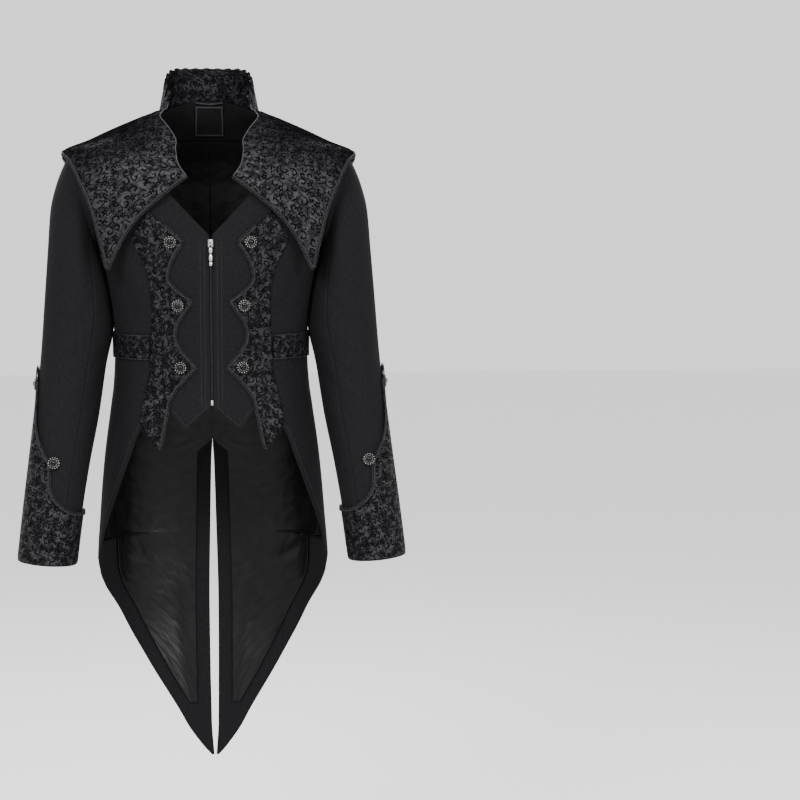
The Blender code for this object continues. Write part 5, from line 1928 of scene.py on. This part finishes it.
@dataclass
class Belt:
    """The half belts with their loops and eyelets, and the buckle at the centre back."""

    wardrobe: Wardrobe
    half: float = 0.0185
    middle: float = -0.3660
    sag: float = 0.0085
    sag_reach: float = 0.0550
    front_x: float = 0.0945
    back_angle: float = -90.0
    loop_x: float = 0.0910
    loop_width: float = 0.0095
    loop_rise: float = 0.0035
    columns: int = 110
    rows: int = 12
    eyelets: tuple = (0.065, 0.037, 0.007, -0.024, -0.064)
    eyelet: float = 3.1 * MM
    eyelet_wire: float = 0.85 * MM
    roll: float = 0.8 * MM
    levels: Table = Table((-90.0, -0.3665), (-60.0, -0.3665), (0.0, -0.3640), (90.0, -0.3655))

    def level(self, angle: Array, x: Array) -> Array:
        """The belt's middle height, which sags at the centre back."""
        drop = self.sag * np.exp(-((x / self.sag_reach) ** 2))
        return self.levels.x(angle) - np.where(np.asarray(angle) < 0, drop, 0.0)

    def strap(self, side: Side) -> None:
        """Makes half a belt, from under the trim to the buckle.

        Args:
            side: the side of the coat.
        """
        front = BODY.angle(self.middle, self.front_x, FRONT)
        angle = np.linspace(float(front), self.back_angle, self.columns + 1)
        middle = self.level(angle, BODY.ring(np.full(angle.shape, self.middle), angle)[:, 0])
        rise = np.linspace(self.half, -self.half, self.rows + 1)[:, None]
        grid, outward = laid(BODY, middle + rise, angle[None, :], side, BELT_OUT)
        name = side.tag("belt")
        Cut(
            name, grid, outward, self.wardrobe.trim_brocade, "brocade",
            turned=("top", "bottom"), sink=0.5 * MM,
        ).build()
        parts = Parts()
        for row in (0, -1):
            _, up = edge_of(BODY, middle + rise[row], angle, side, BELT_OUT)
            parts.tube(grid[row] - up * self.roll * 0.7, up, self.roll, 8)
        parts.build(name + "_edges", self.wardrobe.braid, "braid")

    def loop(self, side: Side) -> None:
        """Makes the twill loop that holds the belt at the back seam.

        Args:
            side: the side of the coat.
        """
        middle = float(self.level(BODY.angle(self.middle, self.loop_x, BACK), self.loop_x))
        tall = self.half + self.loop_rise
        z = middle + np.linspace(tall, -tall, 17)[:, None]
        x = self.loop_x + self.loop_width * np.linspace(0.5, -0.5, 9)[None, :]
        grid, outward = laid(BODY, z, BODY.angle(z, x, BACK), side, 2 * BELT_OUT - MM)
        Cut(
            side.tag("belt_loop"), grid, outward, self.wardrobe.twill, "twill",
            turned=("top", "bottom"), sink=1.2 * MM,
        ).build()

    def eyelet_rings(self) -> None:
        """Small metal eyelets either side of the buckle."""
        parts = Parts()
        for x in self.eyelets:
            side = Side.RIGHT if x > 0 else Side.LEFT
            angle = float(BODY.angle(self.middle, abs(x), BACK))
            z = float(self.level(angle, abs(x)))
            base, up = edge_of(BODY, np.array([z]), np.array([angle]), side, BELT_OUT + 0.3 * MM)
            aside = unit(np.cross(up[0], [0.0, 0.0, 1.0]))
            above = np.cross(aside, up[0])
            ring = circle(base[0], self.eyelet * aside, self.eyelet * above, 20)
            parts.tube(ring, up[0], self.eyelet_wire, 6, closed=True, tarnish=0.30)
        parts.build("belt_eyelets", self.wardrobe.gunmetal, "silver")

    def build(self) -> None:
        """Cuts and places the belt."""
        for side in Side:
            self.strap(side)
            self.loop(side)
        self.eyelet_rings()
        Buckle(self).build()


@dataclass
class Buckle:
    """The cast frame buckle, with scrolls and beads in relief, and its prong.

    section holds, round the frame's section, the share of its width, the share of its
    thickness and the tarnish.
    """

    belt: Belt
    width: float = 0.082
    height: float = 0.058
    frame: float = 0.0100
    thick: float = 0.0036
    scallops: int = 14
    scallop_depth: float = 0.0016
    x: float = -0.002
    squareness: float = 0.72
    stations: int = 168
    prong_radius: float = 0.0013
    prong_reach: float = 0.0302
    relief: float = 0.55 * MM
    section: tuple = (
        (0.00, 0.00, 0.8), (0.00, 0.45, 0.6), (0.08, 0.80, 0.25), (0.16, 0.85, 0.35),
        (0.22, 0.55, 0.9), (0.50, 0.45, 1.0), (0.78, 0.50, 0.9), (0.84, 0.80, 0.35),
        (0.94, 0.80, 0.25), (1.00, 0.40, 0.6), (1.00, 0.00, 0.8),
    )

    def reach(self, turn: Array, inward: float) -> Array:
        """Draws the scalloped outline.

        Args:
            turn: angles round the buckle, in radians.
            inward: how far it is drawn in.

        Returns:
            A point for each angle, about the buckle's centre.
        """
        x = (self.width / 2 - inward) * power(np.cos(turn), self.squareness)
        z = (self.height / 2 - inward) * power(np.sin(turn), self.squareness)
        wave = self.scallop_depth * np.cos(self.scallops * turn) * (0.3 if inward > 0 else 1.0)
        share = 1 + wave / np.hypot(x, z)
        return np.stack([x * share, np.zeros_like(x), z * share], axis=-1)

    def build(self) -> None:
        """Casts and places the buckle and its prong."""
        middle = float(self.belt.level(BACK, 0.0))
        edges = np.array([middle + self.belt.half, middle - self.belt.half])
        base = float(BODY.point(edges, BACK, Side.RIGHT, BELT_OUT)[:, 1].max()) + EDGE_GAP
        centre = np.array([self.x, base, middle])
        turn = 2 * np.pi * np.arange(self.stations) / self.stations
        rings = [
            centre + self.reach(turn, self.frame * inward) + [0.0, self.thick * high, 0.0]
            for inward, high, _ in self.section
        ]
        faces = [
            face[:1] + face[:0:-1] for face in skin(len(self.section), self.stations, closed=True)
        ]
        tarnish = np.repeat([shade for _, _, shade in self.section], self.stations)
        parts = Parts()
        parts.put(np.concatenate(rings), faces, tarnish)
        self.scrolls(parts, centre)
        parts.build("buckle_cast", self.belt.wardrobe.silver, "silver", ("buckle",))
        bar = Parts()
        ends = np.linspace(-self.prong_reach, self.prong_reach, 31)
        path = centre + np.stack(
            [ends, np.full(31, self.prong_radius - EDGE_GAP / 2), np.zeros(31)], axis=-1
        )
        slender = self.prong_radius * np.linspace(0.55, 1.0, 31)
        bar.tube(path, np.array([0.0, 1.0, 0.0]), slender, 10, tarnish=0.55)
        bar.build("buckle_prong_cast", self.belt.wardrobe.silver, "silver", ("buckle_prong",))

    def scrolls(self, parts: Parts, centre: Array) -> None:
        """Adds C scrolls and beads in relief along the middle of the frame.

        Args:
            parts: where they go.
            centre: the buckle's centre.
        """
        up = np.array([0.0, 1.0, 0.0])
        for i in range(self.scallops):
            turn = 2 * np.pi * (i + 0.5) / self.scallops
            line = self.reach(np.array([turn - 0.02, turn, turn + 0.02]), self.frame * 0.5)
            run = unit(line[2] - line[0])
            beside = unit(np.cross(run, up))
            place = centre + line[1] + up * self.thick * 0.62
            for hand in (-1.0, 1.0):
                curl = np.linspace(0.3, 4.6, 18)
                radius = 0.0029 * np.exp(-0.24 * curl)
                spiral = (
                    place + hand * run * 0.0031
                    + np.outer(hand * radius * np.cos(curl), run)
                    + np.outer(radius * np.sin(curl), beside)
                )
                thick = self.relief * np.linspace(1.2, 0.7, 18)
                parts.tube(spiral, up, thick, 6, tarnish=0.08)
                parts.bead(spiral[-1], self.relief * 1.35, 0.0)
            edge = self.reach(np.array([turn + np.pi / self.scallops]), self.frame * 0.42)[0]
            parts.bead(centre + edge + up * self.thick * 0.62, 1.7 * MM, 0.0)
            rim = self.reach(np.array([turn]), self.frame * 0.14)[0]
            parts.bead(centre + rim + up * self.thick * 0.80, 1.25 * MM, 0.0)


@dataclass
class Buttons:
    """The cast shank buttons on the front and on the cuffs.

    beads holds, for each round of beads, its shift in petals, its share of the radius, its
    height, the beads' radius in mm and their tarnish.
    """

    wardrobe: Wardrobe
    side: Side
    radius: float = 0.0095
    height: float = 0.0058
    petals: int = 14
    beads: tuple = ((0.0, 0.84, 0.0026, 0.95, 0.36), (0.5, 0.58, 0.0033, 0.42, 0.10))
    front: tuple = ((-0.2030, 0.0605), (-0.2989, 0.0500), (-0.3950, 0.0470))
    cuff: tuple = ((0.0, 7.72), (84.0, 9.05), (-62.0, 9.32))

    def button(self, name: str, base: Array, up: Array) -> None:
        """Makes a button: a petalled rim with a bead on each petal, round a dark dome.

        Args:
            name: the node that it stands for.
            base: the middle of its underside.
            up: the direction that it faces.
        """
        r, h = self.radius, self.height
        profile = [
            (0.92 * r, 0.0, 1.0), (1.03 * r, 0.0010, 0.9), (1.06 * r, 0.0017, 0.55),
            (1.00 * r, 0.0026, 0.60), (0.90 * r, 0.0026, 0.9), (0.78 * r, 0.0021, 1.0),
            (0.68 * r, 0.0020, 1.0), (0.62 * r, 0.0026, 0.9), (0.58 * r, 0.0032, 0.5),
            (0.53 * r, 0.0032, 0.8), (0.48 * r, 0.0028, 1.0), (0.20 * r, 0.0028, 1.0),
        ]
        parts = Parts()
        parts.turned(profile, base, up, self.petals * 6, self.petals, 0.24)
        guide = np.array([0.0, 0.0, 1.0])
        first = unit(np.cross(guide, up))
        second = np.cross(up, first)
        for i in range(self.petals):
            for shift, reach, lift, size, shade in self.beads:
                turn = 2 * np.pi * (i + shift) / self.petals
                spot = base + up * lift + r * reach * (
                    np.cos(turn) * first + np.sin(turn) * second
                )
                parts.bead(spot, size * MM, shade)
        parts.build(name + "_cast", self.wardrobe.silver, "silver", (name,))
        dome = Parts()
        rounded = [
            (0.50 * r * math.cos(t), 0.0026 + (h - 0.0026) * math.sin(t), 0.0)
            for t in np.linspace(0.0, 0.96, 7) * math.pi / 2
        ]
        dome.turned(rounded, base, up, 24)
        dome.build(name + "_dome", self.wardrobe.resin, "silver")

    def build(self) -> None:
        """Casts and places this side's buttons."""
        gap = OVERLAY + EDGE_GAP
        for count, (z, x) in enumerate(self.front, 1):
            angle = BODY.angle(z, x, FRONT)
            base, up = edge_of(BODY, np.array([z]), np.array([angle]), self.side, gap)
            self.button(self.side.tag(f"front_button_{count}"), base[0], up[0])
        for count, (angle, step) in enumerate(self.cuff, 1):
            base, up = edge_of(ARM, np.array([step]), np.array([angle]), self.side, gap)
            self.button(self.side.tag(f"cuff_button_{count}"), base[0], up[0])


@dataclass
class Zip:
    """The front zip: tape, teeth, bottom stop, slider and the beaded pull."""

    wardrobe: Wardrobe
    top: float = -0.1985
    bottom: float = -0.4530
    tape_half: float = 0.0120
    tooth: tuple[float, float, float] = (1.9 * MM, 1.5 * MM, 1.35 * MM)
    pitch: float = 2.5 * MM
    slider: tuple[float, float, float] = (0.0078, 0.0034, 0.0120)
    slider_drop: float = 0.0062
    slider_out: float = 0.0021
    stop: tuple[float, float, float] = (0.0036, 0.0022, 0.0080)
    pivot_level: float = -0.2035
    pull_length: float = 0.0370
    pull_eye: float = 0.0020
    pull_flat: float = 0.62
    pull_rings: tuple = ((0.30, 3.0), (0.48, 1.9), (0.66, 3.0), (0.88, 2.6))
    pull_profile: tuple = (
        (0.0, 0.70), (0.06, 1.0), (0.11, 1.0), (0.17, 0.55), (0.20, 0.75), (0.24, 1.30),
        (0.30, 1.50), (0.36, 1.45), (0.42, 1.05), (0.46, 0.75), (0.50, 0.95), (0.54, 1.20),
        (0.60, 1.45), (0.66, 1.50), (0.73, 1.15), (0.78, 0.80), (0.83, 1.10), (0.88, 1.30),
        (0.94, 1.05), (1.0, 0.40),
    )

    def surface(self, z: float, out: float) -> Array:
        """A point of the centre front."""
        y = float(BODY.point(z, FRONT, Side.RIGHT)[..., 1])
        return np.array([0.0, y - out, z])

    def tape(self) -> None:
        """The woven tape behind the teeth."""
        z = spread(self.top, self.bottom, FINE)
        turn = BODY.angle(z, self.tape_half, FRONT)
        share = np.linspace(0.0, 1.0, 7)[None, :]
        angle = FRONT - (FRONT - turn)[:, None] * share
        z, angle = np.broadcast_arrays(z[:, None], angle)
        grid = doubled(BODY, z, angle, -(TWILL_WALL + EDGE_GAP * 2))
        Cut(
            "zip_tape", grid, (0.0, -1.0, 0.0), self.wardrobe.twill, "twill", thin=True, turned=(),
        ).build()

    def metal(self) -> None:
        """Teeth, stop and slider."""
        parts = Parts()
        for z in np.arange(self.top - 0.0130, self.bottom + 0.0100, -self.pitch):
            for hand in (-1, 1):
                level = z + (0.0 if hand < 0 else self.pitch / 2)
                place = self.surface(level, -0.45 * MM) + [hand * 0.80 * MM, 0.0, 0.0]
                parts.block(place, self.tooth, 0.60)
        parts.build("zip_teeth", self.wardrobe.gunmetal, "silver", ("zip_chain",))
        end = Parts()
        end.block(self.surface(self.bottom + 0.0045, 0.0), self.stop, 0.1)
        end.build("zip_stop_cast", self.wardrobe.silver, "silver", ("zip_stop",))
        body = Parts()
        place = self.surface(self.top - self.slider_drop, self.slider_out)
        body.block(place, self.slider, 0.15)
        wide, deep, tall = self.slider
        crown = (wide * 0.78, deep * 0.6, tall * 0.42)
        body.block(place + [0.0, -deep * 0.40, tall * 0.28], crown, 0.0)
        bridge = np.linspace(-1.0, 1.0, 9)
        path = place + np.stack(
            [np.zeros(9), -deep * (0.5 + 0.42 * (1 - bridge**4)), bridge * tall * 0.40], axis=-1
        )
        body.tube(path, np.array([1.0, 0.0, 0.0]), 0.7 * MM, 8)
        body.build("zip_slider_cast", self.wardrobe.silver, "silver", ("zip_slider",))

    def pull(self) -> None:
        """The beaded drop that hangs on the slider."""
        reach = self.slider[1] / 2 + self.pull_eye * self.pull_flat + EDGE_GAP
        pivot = self.surface(self.top - self.slider_drop, self.slider_out) - [0.0, reach, 0.0]
        pivot[2] = self.pivot_level
        keys, sizes = np.array(self.pull_profile).T
        share = np.linspace(0.0, 1.0, 74)
        path = pivot + np.stack([share * 0, share * 0, -share * self.pull_length], axis=-1)
        radius = np.interp(share, keys, sizes) * self.pull_eye
        parts = Parts()
        neck = np.clip((1.15 - radius / self.pull_eye) * 2.2, 0.0, 1.0)
        parts.tube(path, np.array([0.0, -1.0, 0.0]), radius, 20, tarnish=neck, flat=self.pull_flat)
        up = np.array([0.0, 0.0, 1.0])
        for at, size in self.pull_rings:
            first = np.array([size * MM, 0.0, 0.0])
            second = np.array([0.0, size * MM * self.pull_flat, 0.0])
            ring = circle(pivot - up * self.pull_length * at, first, second, 16)
            parts.tube(ring, up, 0.28 * MM, 5, closed=True)
        parts.build("zip_pull_cast", self.wardrobe.silver, "silver", ("zip_pull",), PULL)

    def build(self) -> None:
        """Cuts the tape, and casts and places the metal."""
        self.tape()
        self.metal()
        self.pull()


@dataclass
class Inside:
    """What shows inside: back neck facing, satin linings, neck label and hanger loop."""

    wardrobe: Wardrobe
    facing_end: float = -10.0
    facing_bottom: float = -0.0415
    inset: float = 0.0230
    vent_top: float = -0.5300
    vent_ease: float = 0.0200
    armhole_bottom: float = -0.2150
    armhole_inset: float = 6.0
    side_angle: float = -7.0
    hem_top: float = -0.6800
    top: float = -0.0433
    tip: float = -0.9600
    label_half: float = 0.0233
    label_top: float = 0.0120
    label_bottom: float = -0.0330
    loop_rise: float = 0.0050
    loop_droop: float = 0.0022
    columns: int = 70

    def facing(self) -> None:
        """The plain cloth below the collar inside."""
        angle = np.linspace(BACK, self.facing_end, 31)[None, :]
        high = neck_level(angle) - SEAM * 2
        z = high + (self.facing_bottom - high) * np.linspace(0.0, 1.0, 15)[:, None]
        Cut(
            "neck_facing", doubled(BODY, z, angle, LINING_DEPTH), (0.0, 1.0, 0.0),
            self.wardrobe.twill, "twill", thin=True, turned=(),
        ).build()

    def lining(self, side: Side) -> None:
        """Makes half of the satin lining, set in from the hem by the facing's width.

        Args:
            side: the side of the coat.
        """
        z = spread(self.top, self.tip, GRID, ends=False)
        below = np.clip((self.vent_top - z) / self.vent_ease, 0.0, 1.0)
        x = np.where(z < self.vent_top, VENT.x(z) + self.inset * below, 0.0)
        inner = BODY.angle(z, x, BACK)
        low = np.minimum(BODY.angle(z, TAIL_HEM.x(z) - self.inset, BACK), self.side_angle)
        outer = np.where(z > self.hem_top, self.side_angle, low)
        high = ARM.armhole_angle(z, BACK) - self.armhole_inset
        outer = np.where(z > self.armhole_bottom, np.minimum(high, self.side_angle), outer)
        outer = np.maximum(outer, inner + 0.5)
        shares = np.append(np.linspace(0.0, 1.0, self.columns + 1), [0.0008, 0.003, 0.006])
        angle = across(inner, outer, np.sort(shares))
        grid, outward = laid(LINED, z[:, None], angle, side, LINING_DEPTH)
        Cut(side.tag("lining"), grid, outward, self.wardrobe.satin, "satin", turned=()).build()

    def label(self) -> None:
        """The bare neck label, with a lighter woven border."""
        z = np.linspace(self.label_top, self.label_bottom, 31)[:, None]
        x = np.linspace(0.0, self.label_half, 16)[None, :]
        z, x = np.broadcast_arrays(z, x)
        grid = doubled(BODY, z, BODY.angle(z, x, BACK), LABEL_DEPTH)
        made = Cut(
            "label", grid, (0.0, 1.0, 0.0), self.wardrobe.label, "label", turned=(),
        ).build()
        rows, columns = grid.shape[:2]
        row, column = np.indices((rows, columns))
        near = np.minimum(np.minimum(row, rows - 1 - row), np.minimum(column, columns - 1 - column))
        border = made.data.attributes.new("border", "FLOAT", "POINT")
        border.data.foreach_set("value", (near == 1).ravel().astype(np.float32))

    def hanger(self) -> None:
        """The hanger loop above the label."""
        x = np.linspace(-self.label_half, self.label_half, 41)
        z = self.label_top + self.loop_rise - self.loop_droop * (1 - (x / self.label_half) ** 2)
        angle = BODY.angle(z, np.abs(x), BACK)
        left = BODY.point(z, angle, Side.LEFT, LABEL_DEPTH - EDGE_GAP / 2)
        right = BODY.point(z, angle, Side.RIGHT, LABEL_DEPTH - EDGE_GAP / 2)
        path = np.where((x < 0)[:, None], left, right)
        parts = Parts()
        parts.tube(path, np.array([0.0, 0.0, 1.0]), 1.0 * MM, 8, flat=1.6)
        parts.build("hanger_cord", self.wardrobe.braid, "twill", ("hanger_loop",))

    def build(self) -> None:
        """Cuts and places what shows inside."""
        self.facing()
        for side in Side:
            self.lining(side)
        self.label()
        self.hanger()


@dataclass
class Finishing:
    """Rolled edges and rows of stitches."""

    wardrobe: Wardrobe
    roll: float = 0.75 * MM
    stitch: float = 2.5 * MM
    stitch_gap: float = 0.8 * MM
    thread: float = 0.28 * MM
    stitch_lift: tuple = (-1.2, 0.5, 0.5, -1.2)
    zip_rows: tuple = (0.0096, 0.0160)
    edge_row: float = 6.0 * MM

    def line(
        self, z: Array, x: Array | float, face: float, side: Side, out: float = 0.0
    ) -> tuple[Array, Array]:
        """Points of the body at levels and distances from the centre, and the way out of it."""
        return edge_of(BODY, z, BODY.angle(z, x, face), side, out)

    def rolled(self, name: str, path: Array, up: Array, slot: str = "twill") -> None:
        """Makes a narrow roll of cloth along an edge, where its seam allowance is turned in.

        Args:
            name: its name.
            path: the edge's points.
            up: the cloth's outward direction at each.
            slot: its slot, which also picks its finish.
        """
        path, up = resampled(path, 2.5 * MM, up)
        parts = Parts()
        parts.tube(path - unit(up) * self.roll * 0.8, up, self.roll, 8)
        wardrobe = self.wardrobe
        finishes = {
            "twill": wardrobe.twill, "brocade": wardrobe.trim_brocade, "braid": wardrobe.piping,
        }
        parts.build(name, finishes[slot], slot)

    def sewn(self, parts: Parts, path: Array, up: Array) -> None:
        """Adds a row of stitches along a line.

        Args:
            parts: where the stitches go.
            path: the line's points.
            up: the cloth's outward direction at each.
        """
        pitch = self.stitch + self.stitch_gap
        path, up = resampled(path, pitch / 4, up)
        up = unit(up)
        for i in range(0, len(path) - 4, 4):
            lift = self.thread * np.array(self.stitch_lift)[:, None]
            parts.tube(path[i:i + 4] + up[i:i + 4] * lift, up[i:i + 4], self.thread, 5)

    def front(self, side: Side, parts: Parts) -> None:
        """Finishes the edges of the front.

        Args:
            side: the side of the coat.
            parts: where the stitches go.
        """
        z = np.linspace(TOP, -0.193, 80)
        self.rolled(side.tag("neck_edge"), *self.line(z, neck_edge(z), FRONT, side))
        hem = np.array([BodyPanels.hem_inner, BodyPanels.hem_point, BodyPanels.hem_outer])
        inner = np.linspace(hem[0, 1], hem[1, 1], 20)
        x = np.concatenate([inner, np.linspace(hem[1, 1], hem[2, 1], 16)[1:]])
        z = np.interp(x, hem[:, 1], hem[:, 0]) - SEAM
        self.rolled(side.tag("front_hem_edge"), *self.line(z, x, FRONT, side))
        path, up = self.line(z + self.edge_row, x, FRONT, side)
        self.sewn(parts, path[2:-2], up[2:-2])
        for x in self.zip_rows:
            z = np.linspace(-0.203, -0.460, 90)
            self.sewn(parts, *self.line(z, x, FRONT, side))
        z = np.linspace(WAIST_CORNER, TAIL_CORNER + MM, 90)
        self.rolled(side.tag("cut_away_edge"), *self.line(z, CUT_AWAY.x(z), FRONT, side))
        z = z[:-12]
        self.sewn(parts, *self.line(z, CUT_AWAY.x(z) + self.edge_row, FRONT, side))
        share = np.linspace(0.0, 1.0, 20)
        z = -0.4320 - 0.0384 * share
        x = 0.0985 - 0.0265 * share
        path, up = self.line(z, x, FRONT, side, OVERLAY + 0.3 * MM)
        self.rolled(side.tag("trim_fold"), path, up, "brocade")

    def collar(self, side: Side, collar: Collar, lapel: Patch) -> None:
        """Pipes the collar's front edge and, on from it, the lapel's inner edge.

        Args:
            side: the side of the coat.
            collar: the collar.
            lapel: the lapel's patch.
        """
        inner = lapel.edge(lapel.inner, np.linspace(0.0, 1.0, 40))
        low, low_up = edge_of(MANTLE, inner[:, 0], inner[:, 1], side, 0.6 * MM)
        z = np.linspace(float(collar.top(collar.front_angle)) + 0.004, 0.001, 8)
        angle = np.full(z.shape, collar.front_angle)
        high, high_up = edge_of(BODY, z, angle, side, 0.3 * MM)
        path = np.concatenate([high, low])
        self.rolled(side.tag("lapel_piping"), path, np.concatenate([high_up, low_up]), "braid")

    def back(self, side: Side, parts: Parts) -> None:
        """Finishes the edges of the tails.

        Args:
            side: the side of the coat.
            parts: where the stitches go.
        """
        z = np.linspace(TAIL_CORNER - 0.004, TAIL_TIP, 120)
        self.rolled(side.tag("tail_edge"), *self.line(z, TAIL_HEM.x(z), BACK, side))
        z = z[:-6]
        x = np.maximum(TAIL_HEM.x(z) - self.edge_row, VENT.x(z) + 2 * MM)
        self.sewn(parts, *self.line(z, x, BACK, side))
        z = np.linspace(VENT_TOP - 0.012, TAIL_TIP, 150)
        self.rolled(side.tag("vent_edge"), *self.line(z, VENT.x(z), BACK, side))

    def build(self) -> None:
        """Sews and places the rolls and stitches."""
        parts = Parts()
        collar = Collar(self.wardrobe)
        lapel = Mantle(self.wardrobe).lapel_patch()
        for side in Side:
            self.collar(side, collar, lapel)
            self.front(side, parts)
            self.back(side, parts)
        parts.build("top_stitches", self.wardrobe.thread, "twill")


@dataclass
class Studio:
    """A pale floor, soft panels of light and the camera at the photograph's angle."""

    floor_level: float = -1.62
    camera: tuple[float, float, float] = (0.0, -3.0, -0.154)
    target: tuple[float, float, float] = (0.300, 0.0, -0.458)
    lens: float = 85.0

    def panel(
        self, name: str, place: tuple[float, float, float], size: float, power_w: float
    ) -> None:
        """Adds a square panel of light that faces the coat.

        Args:
            name: its name.
            place: where it stands.
            size: the length of its sides.
            power_w: its power in watts.
        """
        light = bpy.data.lights.new(name, "AREA")
        light.shape = "SQUARE"
        light.size = size
        light.energy = power_w
        obj = bpy.data.objects.new(name, light)
        obj.location = place
        aim = Vector((0.0, 0.0, -0.45)) - Vector(place)
        obj.rotation_euler = aim.to_track_quat("-Z", "Y").to_euler()
        bpy.context.scene.collection.objects.link(obj)

    def floor(self) -> None:
        """The plain pale floor."""
        made, _, shader = start_material("floor_painted_matt")
        shader.inputs["Base Color"].default_value = linear("f2f2f0")
        shader.inputs["Roughness"].default_value = 0.8
        mesh = bpy.data.meshes.new("floor")
        far = 14.0
        level = self.floor_level
        corners = [(-far, -far, level), (far, -far, level), (far, far, level), (-far, far, level)]
        mesh.from_pydata(corners, [], [(0, 1, 2, 3)])
        mesh.materials.append(made)
        obj = bpy.data.objects.new("floor", mesh)
        bpy.context.scene.collection.objects.link(obj)

    def world(self) -> None:
        """Even pale light from all round."""
        world = bpy.data.worlds.new("studio")
        world.use_nodes = True
        ground = world.node_tree.nodes["Background"]
        ground.inputs["Color"].default_value = linear("f4f5f6")
        ground.inputs["Strength"].default_value = 1.5
        bpy.context.scene.world = world

    def build(self) -> None:
        """Sets up the studio."""
        self.floor()
        self.world()
        self.panel("key", (-1.1, -2.4, 1.3), 0.8, 120.0)
        self.panel("fill", (1.7, -2.3, 0.6), 1.0, 70.0)
        self.panel("top", (0.0, -0.4, 2.2), 1.2, 30.0)
        self.panel("back_left", (-1.0, 2.6, 1.5), 1.0, 50.0)
        self.panel("back_right", (0.9, 2.7, 1.4), 1.0, 40.0)
        lens = bpy.data.cameras.new("camera")
        lens.lens = self.lens
        lens.sensor_width = 36.0
        lens.clip_start = 0.01
        obj = bpy.data.objects.new("camera", lens)
        obj.location = self.camera
        aim = Vector(self.target) - Vector(self.camera)
        obj.rotation_euler = aim.to_track_quat("-Z", "Y").to_euler()
        bpy.context.scene.collection.objects.link(obj)
        bpy.context.scene.camera = obj


def main() -> None:
    """Dresses the coat and sets up the studio."""
    logging.basicConfig(level=logging.INFO, format="%(name)s: %(message)s")
    wardrobe = Wardrobe()
    for side in Side:
        BodyPanels(wardrobe, side).build()
        Sleeve(wardrobe, side).build()
        FrontTrim(wardrobe, side).build()
        Buttons(wardrobe, side).build()
    Collar(wardrobe).build()
    Mantle(wardrobe).build()
    Belt(wardrobe).build()
    Zip(wardrobe).build()
    Inside(wardrobe).build()
    Finishing(wardrobe).build()
    Studio().build()


if __name__ == "__main__":
    main()
